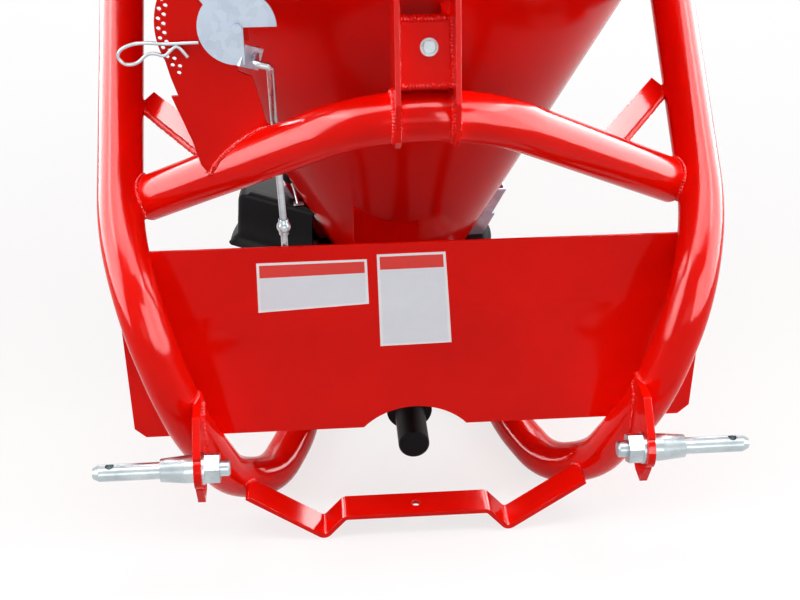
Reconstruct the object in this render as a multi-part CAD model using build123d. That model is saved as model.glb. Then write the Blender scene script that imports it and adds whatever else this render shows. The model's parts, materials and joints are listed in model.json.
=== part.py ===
from build123d import *
import os
from math import acos, atan2, cos, degrees, hypot, pi, radians, sin, tan

# Fertilizer spreader with one disc under a conical hopper, carried on a three-point hitch.
# Millimetres. X to the right seen from the tractor, Y to the rear, Z up.
# The origin is on the ground below the hopper's axis, which is also the disc's axis.

# Hitch: lower pins of category 1, and the mast's hole for the upper link
pin_ahead = 500.0
pin_height = 230.0
pin_radius = 11.0
pin_shoulder = 341.5
pin_stem = 86.0
pin_collar_radius = 15.0
pin_collar_foot_radius = 18.0
pin_collar_foot_length = 12.0
pin_inner_end = 252.6
pin_chamfer = 2.0
pin_point_length = 8.0
pin_point_step = 4.0
linch_hole_radius = 5.5
linch_hole_from_tip = 22.0
pin_nut_across = 36.0
pin_nut_height = 19.0
washer_radius = 21.0
washer_thickness = 3.5
hitch_plate_inner = 288.0
hitch_plate_thickness = 10.0
hitch_hole_radius = 11.5
hitch_plate_rim = 26.0
hitch_plate_back = 82.0
hitch_plate_front = 14.0
hitch_plate_high = 62.0
hitch_plate_low = 56.0
upper_link_height = 612.0
upper_hole_radius = 9.75
lug_thickness = 6.0
lug_half_gap = 31.0
lug_eye_radius = 26.0
lug_hopper_gap = 10.1
lug_foot_below_crown = 23.9
lug_foot_back = 72.0
lug_front_back = 14.0
lug_front_drop = 125.0
lug_shoulder_drop = 92.0
lug_shoulder_back = 92.0
lug_corner = 12.0

# Plate between the lugs and the channel from it to the hopper
cross_plate_thickness = 5.0
cross_plate_above_crown = 43.1
cross_plate_low_back = 46.0
cross_plate_high_drop = 46.0
cross_plate_behind_link = 2.0
front_channel_wall = 4.0
front_channel_side_gap = 3.0
front_channel_end_gap = 2.0

# Frame: round tube, its route given from the lower pins' axis: x out, y back, z up
tube_radius = 30.0
tube_bend_share = 0.46
skid_drop = pin_height - tube_radius
side_route = [
    # x, y behind the pins, z above the pins
    (386.0, 520.0, 529.0),
    (382.0, 163.0, 259.0),
    (354.0, 81.0, 175.0),
    (315.0, 71.0, 29.0),
    (268.0, 165.0, -150.0),
    (210.0, 225.0, -skid_drop),
    (165.0, 345.0, -skid_drop),
    (150.0, 650.0, -skid_drop),
]
arch_foot = (348.0, 214.0, 283.0)
arch_apex_back = 22.0
arch_apex_drop = 114.0
arch_crown_radius = 198.0
brace_width = 29.0
brace_thickness = 5.0
brace_top = (351.0, 330.0, 372.0)
brace_foot_x = 249.0
brace_foot_behind = 24.0
brace_foot_above = 8.0
cross_tube_radius = 21.0
cross_tube_back = 618.0

# Front shield
shield_half_width = 393.6
shield_back = 150.0
shield_low = -59.0
shield_bend = 135.0
shield_high = 233.0
shield_lean = 4.6
shield_thickness = 3.0
shield_corner = 15.0
shield_arc_half_width = 73.0
shield_arc_rise = 33.0

# Bridge bar between the side tubes, level with the skids at its low bends
bridge_thickness = 7.0
bridge_width = 45.0
bridge_front = 111.0
bridge_half_flat = 104.0
bridge_top = -188.0
bridge_low_x = 134.0
bridge_end = (243.0, -146.0)
bridge_hole_radius = 6.25
bridge_bend_radius = 9.0

# Hopper
hopper_rim_radius = 540.0
rim_roll_radius = 9.0
hopper_wall = 2.5
cone_slope = 0.5134
cone_low_radius = 97.2
cone_low = 268.0
band_height = 70.0
bracket_length = 60.0
bracket_depth = 74.0
bracket_height = 56.0
bracket_inset = 38.0
bracket_drop = 16.0
bracket_ahead = 20.0

# Channel, rib and straps down the cone
front_web_left = -75.0
front_web_right = 18.0
front_web_ahead = 164.0
front_web_high = 424.0
front_web_wall = 4.0
front_web_depth = 70.0
strap_width = 42.0
strap_thickness = 4.0
strap_depth = 18.0
strap_length = 78.0
strap_step = 5.0
strap_step_height = 36.0
rib_depth = 12.0
rib_width = 30.0
rib_high = 424.0
rib_strap_low = 350.0
rib_strap_high = 392.0

# Floor of the hopper, outlets, shutter and the black ring round the cone's foot
floor_thickness = 5.0
floor_radius = 125.0
outlet_half_x = 25.0
outlet_inner_y = 30.0
outlet_outer_y = 76.0
shutter_thickness = 4.0
slide_gap = 0.5
rail_thickness = 3.0
rail_lip = 9.0
rail_front_start = 8.0
rail_end = 80.0
spindle_clearance = 6.0
shutter_lap = 1.0
shutter_right = 43.0
shutter_arm_left = -103.0
shutter_edge = 12.0
tongue_root = (-100.0, -60.0)
tongue_half_width = 22.0
tongue_past = 16.0
ring_radius = 150.0
ring_low = 276.0
ring_height = 20.0
ring_chamfer = 4.0

# Spinner
disc_radius = 200.0
disc_height = 184.0
disc_thickness = 3.0
disc_rise = 8.0
disc_flat_radius = 90.0
vane_count = 4
vane_height = 34.0
vane_thickness = 3.0
vane_inner = 62.0
vane_outer = 196.0
vane_flange = 22.0
vane_sweep = 12.0
hub_radius = 32.0
hub_height = 26.0
spindle_radius = 12.5
running_gap = 0.6
bearing_gap = 0.1
bearing_depth = 20.0
hub_neck = 6.0
spindle_above_floor = 62.0
agitator_above_floor = 14.0
agitator_collar_radius = 24.0
agitator_collar_height = 34.0
agitator_finger_radius = 5.0
agitator_reach = 84.0
agitator_finger_rise = 22.0
agitator_turn = 120.0
agitator_step = 6.0

# Gearbox on its plate, input shaft, its housing and its cap
input_height = 122.0
gearbox_half_width = 58.0
gearbox_half_length = 72.0
gearbox_low = 68.0
gearbox_high = 170.0
gearbox_corner = 20.0
gearbox_chamfer = 5.0
gearbox_nose_radius = 46.0
gearbox_nose_length = 16.0
gearbox_plate_thickness = 8.0
gearbox_plate_half_length = 85.0
gearbox_plate_half_width = 168.0
input_root_radius = 14.7
input_spline_radius = 17.45
spline_count = 6
spline_gap = 9.0
spline_length = 90.0
cap_radius = 22.5
cap_wall = 2.5
cap_tip_back = 164.0
cap_length = 82.0
cap_round = 7.0
cap_shaft_gap = 4.0
cap_housing_gap = 6.0
housing_radius = 34.0
housing_front_back = 214.0

# Rate control: quadrant, lever, rod and crank, all turning about lines along Y
lever_pivot_x = -213.0
lever_pivot_above_arch = 177.1
control_back = 130.0
quadrant_thickness = 4.0
quadrant_radius = 95.0
quadrant_right = 12.0
quadrant_waist = (14.0, -63.0)
quadrant_inner_foot = (31.0, -133.0)
quadrant_tip = (-36.6, -190.9)
quadrant_heel = (-46.0, -188.5)
quadrant_heel_top = (-55.0, -175.3)
quadrant_edge_low = (-63.5, -142.0)
quadrant_step = (-83.0, -85.0)
quadrant_step_width = 8.5
quadrant_edge_high = (-81.6, -61.0)
quadrant_sector_low = (-86.2, -40.0)
quadrant_top = (-45.0, 120.0)
notch_gap = 2.0
lever_thickness = 5.0
lever_hub_radius = 46.0
lever_arm = (19.0, -41.0)
lever_fold = 7.0
ear_length = 32.0
ear_width = 26.0
ear_turn = 45.0
ear_tilt = 25.0
lever_length = 300.0
lever_angle = 126.0
lever_width = 26.0
grip_radius = 15.0
grip_length = 115.0
grip_overlap = 30.0
grip_round = 6.0
rod_radius = 4.5
rod_side = 17.0
rod_behind = 35.0
rod_bend_drop = 92.0
rod_straight = 208.0
rod_hook_bend = 6.5
rod_upper_bend = 12.0
rod_sweep = 60.0
rod_foot_bend = 10.0
pivot_radius = 6.0
crank_back = 176.0
rod_low = (-172.0, 60.0)
crank_finger_width = 12.0
crank_finger_past = 12.0
finger_play = 0.8
crank_thickness = 5.0
crank_hub_radius = 15.0
crank_end_radius = 11.0
crank_arm_width = 20.0
rate_range = 40.0
setting_hole_radius = 2.6
setting_hole_count = 12
setting_hole_step = 7.5
setting_first_angle = 135.5
setting_row_radius = 90.5
setting_row_gap = 6.2

# Black side hood behind the shield
hood_wall = 3.0
hood_radius = 254.0
hood_high = 371.0
hood_low = 281.0
hood_lip = 13.0
hood_shoulder = 15.0
hood_taper = 6.0
hood_lip_height = 16.0
hood_first = 104.0
hood_sweep = 112.0
hood_front_offset = 134.0
hood_front_turn = 56.2

pins_y = -pin_ahead


def at_hitch(x, back, up):
    """A place given from the lower pins' axis, in the part's frame."""
    return Vector(x, pins_y + back, pin_height + up)


def cone_radius(z):
    """Outer radius of the hopper's cone at a height above the ground."""
    return cone_low_radius + (z - cone_low) * cone_slope


def bend_radii(points, share):
    """The largest even bend at each corner: a share of the shorter run beside it."""
    radii = []
    for before, here, after in zip(points, points[1:], points[2:]):
        run_in = here - before
        run_out = after - here
        turn = radians(run_in.get_angle(run_out))
        radii.append(share * min(run_in.length, run_out.length) / tan(turn / 2))
    return radii


def bent_bar(points, radii, radius):
    """A round bar along straight runs joined by tangent arcs."""
    path = FilletPolyline(*points, radius=radii)
    start = Plane(origin=path @ 0, z_dir=path % 0)
    return sweep(start * Circle(radius), path=path)


def rod_between(start, end, radius):
    """A straight round bar from one point to another."""
    way = Vector(*end) - Vector(*start)
    plane = Plane(origin=start, z_dir=way)
    return extrude(plane * Circle(radius), way.length)


def flat_bar(start, end, width, thickness, facing):
    """A straight flat bar whose wide face looks along facing."""
    start = Vector(*start)
    way = Vector(*end) - start
    plane = Plane(origin=start, x_dir=way.cross(Vector(*facing)), z_dir=way)
    return extrude(plane * Rectangle(width, thickness), way.length)


def plate_along_y(face, front, thickness):
    """A plate cut from an outline drawn in X and Z, standing across Y."""
    plane = Plane(origin=(0, front, 0), x_dir=(1, 0, 0), z_dir=(0, -1, 0))
    return extrude(plane * face, -thickness)


def plate_along_x(face, inner, thickness):
    """A plate cut from an outline drawn in Y and Z, standing across X."""
    plane = Plane(origin=(inner, 0, 0), x_dir=(0, 1, 0), z_dir=(1, 0, 0))
    return extrude(plane * face, thickness)


def outline(*points):
    return make_face(Polyline(*points, close=True))


def spin_about_x(points, up, back):
    """A turned piece about a line along X, from an outline of x and radius."""
    plane = Plane(origin=(0, back, up), x_dir=(1, 0, 0), z_dir=(0, -1, 0))
    face = plane * outline(*points)
    return revolve(face, axis=Axis((0, back, up), (1, 0, 0)))


def mirrored(solid):
    return mirror(solid, about=Plane.YZ)


# Side tubes: hopper bracket, pin level, bend under the shield, skid
def make_side_tube():
    points = [at_hitch(*row) for row in side_route]
    return bent_bar(points, bend_radii(points, tube_bend_share), tube_radius)


tube_head = at_hitch(*side_route[0])


def arch_point(x):
    """The point on the arch's straight arms at a distance to the side."""
    share = abs(x) / arch_foot[0]
    back = arch_apex_back + (arch_foot[1] - arch_apex_back) * share
    apex_up = upper_link_height - arch_apex_drop
    return at_hitch(x, back, apex_up + (arch_foot[2] - apex_up) * share)


def crown_height():
    """Height of the arch's centre line at its crown, above the pins."""
    apex_up = upper_link_height - arch_apex_drop
    rise = apex_up - arch_foot[2]
    fall = hypot(rise, arch_foot[1] - arch_apex_back)
    half_turn = atan2(fall, arch_foot[0])
    return apex_up - arch_crown_radius * (1 / cos(half_turn) - 1) * rise / fall


crown_up = crown_height()
upper_link_back = pin_ahead - cone_radius(pin_height + upper_link_height) - lug_eye_radius - lug_hopper_gap
lever_pivot_up = arch_point(lever_pivot_x).Z - pin_height + lever_pivot_above_arch
lever_pivot = (lever_pivot_x, lever_pivot_up)


# Arch between the side tubes: two straight arms and a wide crown
def make_arch(side_tubes):
    left = arch_point(-arch_foot[0])
    right = arch_point(arch_foot[0])
    apex = arch_point(0)
    arch = bent_bar([left, apex, right], [arch_crown_radius], tube_radius)
    for tube in side_tubes:
        arch -= tube
    return max(arch.solids(), key=lambda s: s.volume)


# Brace from each side tube to the arch
def make_brace(side_tube, arch):
    foot = arch_point(brace_foot_x) + Vector(0, brace_foot_behind, brace_foot_above)
    brace = flat_bar(foot, at_hitch(*brace_top), brace_width, brace_thickness, (0, -1, 0.9))
    brace = brace - side_tube - arch
    return max(brace.solids(), key=lambda s: s.volume)


# Mast: two lugs over the arch with the hole for the upper link
def make_lug(arch):
    front = pins_y + lug_front_back
    eye_y = pins_y + upper_link_back
    eye_z = pin_height + upper_link_height
    low = pin_height + crown_up - lug_foot_below_crown
    back = pins_y + lug_shoulder_back
    blade = outline(
        (front + lug_corner, low),
        (front, low + lug_corner),
        (front, eye_z - lug_front_drop),
        (eye_y - lug_eye_radius, eye_z),
        (eye_y + lug_eye_radius, eye_z),
        (back, eye_z - lug_shoulder_drop),
        (back, low + lug_corner),
        (pins_y + lug_foot_back, low),
    )
    eye = Pos(eye_y, eye_z) * Circle(lug_eye_radius)
    hole = Pos(eye_y, eye_z) * Circle(upper_hole_radius)
    lug = plate_along_x(blade + eye - hole, lug_half_gap, lug_thickness)
    lug -= arch
    return max(lug.solids(), key=lambda s: s.volume)


# Plate welded between the lugs, and the channel from it to the hopper's front
cross_plate_foot = (cross_plate_low_back, crown_up + cross_plate_above_crown)
cross_plate_head = (upper_link_back + cross_plate_behind_link, upper_link_height - cross_plate_high_drop)


def make_cross_plate():
    (y_low, z_low), (y_high, z_high) = cross_plate_foot, cross_plate_head
    face = outline(
        (pins_y + y_low, pin_height + z_low),
        (pins_y + y_low + cross_plate_thickness, pin_height + z_low),
        (pins_y + y_high + cross_plate_thickness, pin_height + z_high),
        (pins_y + y_high, pin_height + z_high),
    )
    return plate_along_x(face, -lug_half_gap, 2 * lug_half_gap)


def make_front_bracket():
    (y_low, z_low), (y_high, z_high) = cross_plate_foot, cross_plate_head
    half = lug_half_gap - front_channel_side_gap
    wall = front_channel_wall
    rise = front_channel_end_gap
    lean = (y_high - y_low) / (z_high - z_low)
    low = pin_height + z_low + rise
    high = pin_height + z_high - rise
    front_low = pins_y + y_low + cross_plate_thickness + lean * rise
    front_high = pins_y + y_high + cross_plate_thickness - lean * rise
    end = -cone_radius(low) + hopper_wall
    block = outline((front_low, low), (front_high, high), (end, high), (end, low))
    inner = outline(
        (front_low - lean * rise + wall, low - rise),
        (front_high + lean * rise + wall, high + rise),
        (end + rise, high + rise),
        (end + rise, low - rise),
    )
    channel = plate_along_x(block, -half, 2 * half) - plate_along_x(inner, -half + wall, 2 * (half - wall))
    channel -= cone_solid(0)
    return max(channel.solids(), key=lambda s: s.volume)


# Plate that carries each lower pin
def make_hitch_plate(side_tube):
    rim = hitch_plate_rim
    face = outline(
        (pins_y - rim / 2, pin_height - rim),
        (pins_y, pin_height - hitch_plate_low),
        (pins_y + rim, pin_height - hitch_plate_low),
        (pins_y + hitch_plate_back, pin_height - rim),
        (pins_y + hitch_plate_back, pin_height + hitch_plate_high),
        (pins_y + rim, pin_height + hitch_plate_high),
        (pins_y - hitch_plate_front, pin_height + rim),
    )
    face += Pos(pins_y, pin_height) * Circle(rim)
    face -= Pos(pins_y, pin_height) * Circle(hitch_hole_radius)
    plate = plate_along_x(face, hitch_plate_inner, hitch_plate_thickness)
    plate -= side_tube
    return max(plate.solids(), key=lambda s: s.volume)


# Lower pin: stem, tapered collar, threaded end, washer and nut in one
def make_pin():
    plate_outer = hitch_plate_inner + hitch_plate_thickness
    tip = pin_shoulder + pin_stem
    shank = pin_radius
    profile = [
        (pin_inner_end, 0),
        (pin_inner_end, shank - pin_chamfer),
        (pin_inner_end + pin_chamfer, shank),
        (plate_outer, shank),
        (plate_outer, pin_collar_foot_radius),
        (plate_outer + pin_collar_foot_length, pin_collar_foot_radius),
        (pin_shoulder, pin_collar_radius),
        (pin_shoulder, pin_radius),
        (tip - pin_point_length, pin_radius),
        (tip, pin_radius - pin_point_step),
        (tip, 0),
    ]
    pin = spin_about_x(profile, pin_height, pins_y)
    nut_face = Plane(origin=(hitch_plate_inner - washer_thickness, pins_y, pin_height), z_dir=(-1, 0, 0))
    nut = extrude(nut_face * RegularPolygon(pin_nut_across / 2, 6, major_radius=False), pin_nut_height)
    washer = extrude(nut_face * Circle(washer_radius), -washer_thickness)
    cross = Cylinder(linch_hole_radius, 4 * pin_radius)
    return pin + nut + washer - Pos(tip - linch_hole_from_tip, pins_y, pin_height) * cross


# Front shield: a sheet with its upper part leaning back and an arc over the input shaft
def make_shield(side_tubes):
    y = pins_y + shield_back
    z_low = pin_height + shield_low
    z_bend = pin_height + shield_bend
    z_high = pin_height + shield_high
    lean = (z_high - z_bend) * tan(radians(shield_lean))
    sheet = make_face(
        Polyline(
            (y, z_low),
            (y, z_bend),
            (y + lean, z_high),
            (y + lean + shield_thickness, z_high),
            (y + shield_thickness, z_bend),
            (y + shield_thickness, z_low),
            close=True,
        )
    )
    plane = Plane(origin=(0, 0, 0), x_dir=(0, 1, 0), z_dir=(1, 0, 0))
    shield = extrude(plane * sheet, shield_half_width, both=True)
    corner = outline(
        (shield_half_width + shield_corner, z_low - shield_corner),
        (shield_half_width + shield_corner, z_low + 2 * shield_corner),
        (shield_half_width - 2 * shield_corner, z_low - shield_corner),
    )
    cut_front = y - shield_thickness
    cut_depth = 3 * shield_thickness
    notch = plate_along_y(corner, cut_front, cut_depth)
    arc_radius = (shield_arc_half_width ** 2 + shield_arc_rise ** 2) / (2 * shield_arc_rise)
    arc_centre = z_low + shield_arc_rise - arc_radius
    arc = plate_along_y(Pos(0, arc_centre) * Circle(arc_radius), cut_front, cut_depth)
    shield = shield - notch - mirrored(notch) - arc
    for tube in side_tubes:
        shield -= tube
    return max(shield.solids(), key=lambda s: s.volume)


# Bridge bar: raised middle with a hole, low bends on the ground, ends up on the tubes
def make_bridge(side_tubes):
    half = bridge_thickness / 2
    flat_z = pin_height + bridge_top - half
    end_x, end_z = bridge_end
    y = pins_y + bridge_front
    points = [
        Vector(-end_x, y, pin_height + end_z),
        Vector(-bridge_low_x, y, half),
        Vector(-bridge_half_flat, y, flat_z),
        Vector(bridge_half_flat, y, flat_z),
        Vector(bridge_low_x, y, half),
        Vector(end_x, y, pin_height + end_z),
    ]
    path = FilletPolyline(*points, radius=bridge_bend_radius)
    section = Plane(origin=path @ 0, x_dir=(0, 1, 0), z_dir=path % 0)
    bar = sweep(section * Pos(bridge_width / 2, 0) * Rectangle(bridge_width, bridge_thickness), path=path)
    hole = Pos(0, y + bridge_width / 2, flat_z) * Cylinder(bridge_hole_radius, 4 * bridge_thickness)
    bar -= hole
    for tube in side_tubes:
        bar -= tube
    return max(bar.solids(), key=lambda s: s.volume)


# Rear cross tube between the skids
def make_cross_tube(side_tubes):
    y = pins_y + cross_tube_back
    skid_x = side_route[-2][0]
    bar = rod_between((-skid_x, y, tube_radius), (skid_x, y, tube_radius), cross_tube_radius)
    for tube in side_tubes:
        bar -= tube
    return max(bar.solids(), key=lambda s: s.volume)


# Hopper: cone, band and rolled rim
band_radius = hopper_rim_radius - rim_roll_radius
cone_high = cone_low + (band_radius - cone_low_radius) / cone_slope
rim_height = cone_high + band_height


def make_hopper():
    shift = hopper_wall * hypot(1, cone_slope)
    profile = outline(
        (cone_low_radius, cone_low),
        (band_radius, cone_high),
        (band_radius, rim_height),
        (band_radius - hopper_wall, rim_height),
        (band_radius - hopper_wall, cone_high),
        (cone_low_radius - shift, cone_low),
    )
    shell = revolve(Plane.XZ * profile, axis=Axis.Z)
    roll = revolve(Plane.XZ * Pos(band_radius, rim_height) * Circle(rim_roll_radius), axis=Axis.Z)
    return shell + roll


def cone_solid(gap):
    """The hopper's outer form, larger by a gap, to seat pieces on."""
    high = cone_high + band_height
    low = cone_low - band_height
    face = outline(
        (0, low),
        (cone_radius(low) + gap, low),
        (band_radius + gap, cone_high),
        (band_radius + gap, high),
        (0, high),
    )
    return revolve(Plane.XZ * face, axis=Axis.Z)


# Bracket that seats the hopper's side on each tube
def make_side_bracket(side_tube):
    middle = Vector(tube_head.X - bracket_inset, tube_head.Y - bracket_ahead, tube_head.Z - bracket_drop)
    block = Pos(middle) * Box(bracket_length, bracket_depth, bracket_height)
    bracket = block - cone_solid(0) - side_tube
    return min(bracket.solids(), key=lambda s: abs(s.center().X - middle.X))


# Floor of the hopper with two outlets and the spindle's hole
floor_low = cone_low - floor_thickness
shutter_top = floor_low - slide_gap
shutter_low = shutter_top - shutter_thickness
shutter_half_y = outlet_outer_y + shutter_edge
crank_pivot = (rod_low[0] - lever_arm[0], pin_height + rod_low[1] - lever_arm[1])
crank_swing = radians(rate_range / 2)
crank_drop = crank_pivot[1] - (shutter_top + shutter_low) / 2
crank_rest_x = crank_pivot[0] - crank_drop * tan(crank_swing)
shutter_travel = 2 * crank_drop * tan(crank_swing)


def make_floor():
    plate = Pos(0, 0, floor_low) * extrude(Circle(floor_radius), floor_thickness)
    width = outlet_outer_y - outlet_inner_y
    middle = (outlet_outer_y + outlet_inner_y) / 2
    windows = Pos(0, middle) * Rectangle(2 * outlet_half_x, width) + Pos(0, -middle) * Rectangle(
        2 * outlet_half_x, width
    )
    plate -= Pos(0, 0, floor_low) * extrude(windows, floor_thickness)
    plate -= Pos(0, 0, floor_low) * extrude(Circle(spindle_radius + 3 * running_gap), floor_thickness)
    rail_y = shutter_half_y + slide_gap
    drop = shutter_thickness + 2 * slide_gap
    for side, start in ((1, -rail_end), (-1, rail_front_start)):
        length = rail_end - start
        middle = (rail_end + start) / 2
        web_low = floor_low - drop - rail_thickness
        standing = (Align.CENTER, Align.CENTER, Align.MIN)
        web = Box(length, rail_thickness, drop + rail_thickness, align=standing)
        lip = Box(length, rail_lip, rail_thickness, align=standing)
        plate += Pos(middle, side * (rail_y + rail_thickness / 2), web_low) * web
        plate += Pos(middle, side * (rail_y + rail_thickness - rail_lip / 2), web_low) * lip
    return plate


# Shutter under the floor, closed at rest, with a tongue forward to the crank's finger
def make_shutter():
    left = -outlet_half_x - shutter_lap
    length = shutter_right - left
    plate = Pos((shutter_right + left) / 2, 0) * Rectangle(length, 2 * shutter_half_y)
    arm_length = left - shutter_arm_left
    arm_width = shutter_edge - shutter_lap
    for side in (1, -1):
        arm_y = side * (shutter_half_y - arm_width / 2)
        plate += Pos(left - arm_length / 2, arm_y) * Rectangle(arm_length, arm_width)
    notch = spindle_radius + spindle_clearance
    plate -= Circle(notch) + Pos(left / 2, 0) * Rectangle(-left, 2 * notch)
    finger_y = pins_y + crank_back + running_gap + crank_thickness / 2
    tongue = outline(
        (crank_rest_x - tongue_half_width, finger_y - tongue_past),
        (crank_rest_x + tongue_half_width, finger_y - tongue_past),
        (tongue_root[1], -shutter_half_y + arm_width / 2),
        (tongue_root[0], -shutter_half_y + arm_width / 2),
    )
    plate = Pos(0, 0, shutter_low) * extrude(plate + tongue, shutter_thickness)
    slope = shutter_thickness * tan(crank_swing)
    hole_x = crank_finger_width / cos(crank_swing) + slope + 2 * finger_play
    hole = Box(hole_x, crank_thickness + 2 * finger_play, 4 * shutter_thickness)
    return plate - Pos(crank_rest_x, finger_y, shutter_low) * hole


# Black ring round the cone's foot
def make_ring():
    low = ring_low
    high = ring_low + ring_height
    face = outline(
        (cone_radius(low), low),
        (ring_radius, low),
        (ring_radius, high - ring_chamfer),
        (ring_radius - ring_chamfer, high),
        (cone_radius(high), high),
    )
    return revolve(Plane.XZ * face, axis=Axis.Z)


# Pieces on the cone's foot: a channel in front, a strap each side, a rib under the left one
def along_cone(low, high, inner, outer):
    """The section, in X and Z, of a bar that follows the cone's right side."""
    return outline(
        (cone_radius(low) + inner, low),
        (cone_radius(low) + outer, low),
        (cone_radius(high) + outer, high),
        (cone_radius(high) + inner, high),
    )


def bar_along_cone(face, width):
    plane = Plane(origin=(0, -width / 2, 0), x_dir=(1, 0, 0), z_dir=(0, -1, 0))
    bar = extrude(plane * face, -width) - cone_solid(0)
    return max(bar.solids(), key=lambda s: s.volume)


def make_strap():
    low = ring_low + ring_height
    high = low + strap_length
    step = low + strap_step_height
    inner = strap_depth - strap_thickness
    strap = bar_along_cone(along_cone(low, high, inner, strap_depth), strap_width)
    strap += bar_along_cone(along_cone(low, step, strap_depth, strap_depth + strap_step), strap_width)
    side_width = strap_thickness
    cheek = along_cone(low, high, -inner, inner)
    for side in (1, -1):
        shift = side * (strap_width - side_width) / 2
        strap += Pos(0, shift, 0) * bar_along_cone(cheek, side_width)
    return strap - cone_solid(0)


def make_rib():
    low = ring_low + ring_height
    return mirrored(bar_along_cone(along_cone(low, rib_high, -rib_depth, rib_depth), rib_width))


def make_rib_strap():
    face = along_cone(rib_strap_low, rib_strap_high, rib_depth, strap_depth)
    return mirrored(bar_along_cone(face, strap_width))


def make_front_web():
    low = ring_low + ring_height
    width = front_web_right - front_web_left
    middle = (front_web_right + front_web_left) / 2
    start = Pos(middle, -front_web_ahead, low)
    height = front_web_high - low
    web = start * Box(width, front_web_depth, height, align=(Align.CENTER, Align.MIN, Align.MIN))
    hollow = Pos(middle, front_web_wall - front_web_ahead, low) * Box(
        width - 2 * front_web_wall, front_web_depth, height, align=(Align.CENTER, Align.MIN, Align.MIN)
    )
    web = web - hollow - cone_solid(0)
    return max(web.solids(), key=lambda s: s.volume)


# Spinner: dished disc, vanes, hub with its spindle, agitator
def make_disc():
    low = disc_height
    bore = hub_radius - hub_neck
    face = outline(
        (bore, low),
        (disc_flat_radius, low),
        (disc_radius, low + disc_rise),
        (disc_radius, low + disc_rise + disc_thickness),
        (disc_flat_radius, low + disc_thickness),
        (bore, low + disc_thickness),
    )
    return revolve(Plane.XZ * face, axis=Axis.Z)


def dish_height(radius):
    slope = disc_rise / (disc_radius - disc_flat_radius)
    return disc_height + disc_thickness + max(0.0, radius - disc_flat_radius) * slope


def make_vanes():
    high = dish_height(vane_outer) + vane_height
    low = disc_height
    length = vane_outer - vane_inner
    middle = (vane_outer + vane_inner) / 2
    web = Pos(middle, 0, (high + low) / 2) * Box(length, vane_thickness, high - low)
    flange_middle = (vane_flange - vane_thickness) / 2
    cover = Pos(middle, flange_middle, high - vane_thickness / 2) * Box(length, vane_flange, vane_thickness)
    beyond = disc_radius + vane_height
    dish = outline(
        (0, low - disc_thickness),
        (0, disc_height + disc_thickness),
        (disc_flat_radius, disc_height + disc_thickness),
        (beyond, dish_height(beyond)),
        (beyond, low - disc_thickness),
    )
    blank = revolve(Plane.XZ * dish, axis=Axis.Z)
    vane = Pos(vane_inner, 0, 0) * Rot(0, 0, vane_sweep) * Pos(-vane_inner, 0, 0) * (web + cover)
    limit = Pos(0, 0, low) * extrude(Circle(disc_radius), 2 * vane_height)
    vane = (vane & limit) - blank
    vane = max(vane.solids(), key=lambda s: s.volume)
    return Compound([Rot(0, 0, 360 / vane_count * i) * vane for i in range(vane_count)])


def make_hub():
    hub = Pos(0, 0, disc_height + disc_thickness) * extrude(Circle(hub_radius), hub_height)
    neck_low = gearbox_high + running_gap
    neck = extrude(Circle(hub_radius - hub_neck), disc_height + disc_thickness - neck_low)
    hub += Pos(0, 0, neck_low) * neck
    return hub - Pos(0, 0, neck_low) * extrude(Circle(spindle_radius + bearing_gap), 2 * disc_height)


def make_spindle():
    foot = gearbox_high - bearing_depth + running_gap
    return Pos(0, 0, foot) * extrude(Circle(spindle_radius), cone_low + spindle_above_floor - foot)


def make_agitator():
    low = cone_low + agitator_above_floor
    ring = Circle(agitator_collar_radius) - Circle(spindle_radius + bearing_gap)
    collar = Pos(0, 0, low) * extrude(ring, agitator_collar_height)
    root = agitator_collar_radius - agitator_finger_radius
    for i in range(3):
        start_z = low + agitator_above_floor + agitator_step * i
        start = (root, 0, start_z)
        end = (agitator_reach, 0, start_z + agitator_finger_rise)
        finger = rod_between(start, end, agitator_finger_radius)
        collar += Rot(0, 0, agitator_turn * i) * finger
    bore = extrude(Circle(spindle_radius + bearing_gap), 2 * agitator_collar_height)
    return collar - Pos(0, 0, low) * bore


# Gearbox, its plate on the skids, its input shaft, the shaft's housing and cap
def make_gearbox():
    middle = (gearbox_high + gearbox_low) / 2
    height = gearbox_high - gearbox_low
    body = Pos(0, 0, middle) * Box(2 * gearbox_half_width, 2 * gearbox_half_length, height)
    body = fillet(body.edges().filter_by(Axis.Z), gearbox_corner)
    body = chamfer(body.faces().sort_by(Axis.Z)[-1].edges(), gearbox_chamfer)
    nose = Plane(origin=(0, -gearbox_half_length, input_height), z_dir=(0, -1, 0))
    body += extrude(nose * Circle(gearbox_nose_radius), gearbox_nose_length)
    body -= extrude(nose * Circle(input_spline_radius + bearing_gap), gearbox_nose_length)
    bore = extrude(Circle(spindle_radius + bearing_gap), 2 * bearing_depth)
    return body - Pos(0, 0, gearbox_high - bearing_depth) * bore


def make_gearbox_plate(side_tubes):
    low = gearbox_low - gearbox_plate_thickness
    plate = Pos(0, 0, low) * extrude(
        Rectangle(2 * gearbox_plate_half_width, 2 * gearbox_plate_half_length), gearbox_plate_thickness
    )
    for tube in side_tubes:
        plate -= tube
    return max(plate.solids(), key=lambda s: s.volume)


def make_input_shaft():
    nose_y = -gearbox_half_length
    start = Plane(origin=(0, nose_y - slide_gap, input_height), z_dir=(0, -1, 0))
    tip_y = pins_y + cap_tip_back + cap_wall + cap_shaft_gap
    length = nose_y - slide_gap - tip_y
    shaft = extrude(start * Circle(input_spline_radius), length)
    tip = Plane(origin=(0, tip_y, input_height), z_dir=(0, 1, 0))
    groove = Rectangle(2 * (input_spline_radius - input_root_radius), spline_gap)
    for i in range(spline_count):
        turn = Rot(0, 0, 360 / spline_count * i)
        shaft -= extrude(tip * turn * Pos(input_spline_radius, 0) * groove, spline_length)
    return shaft


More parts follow.
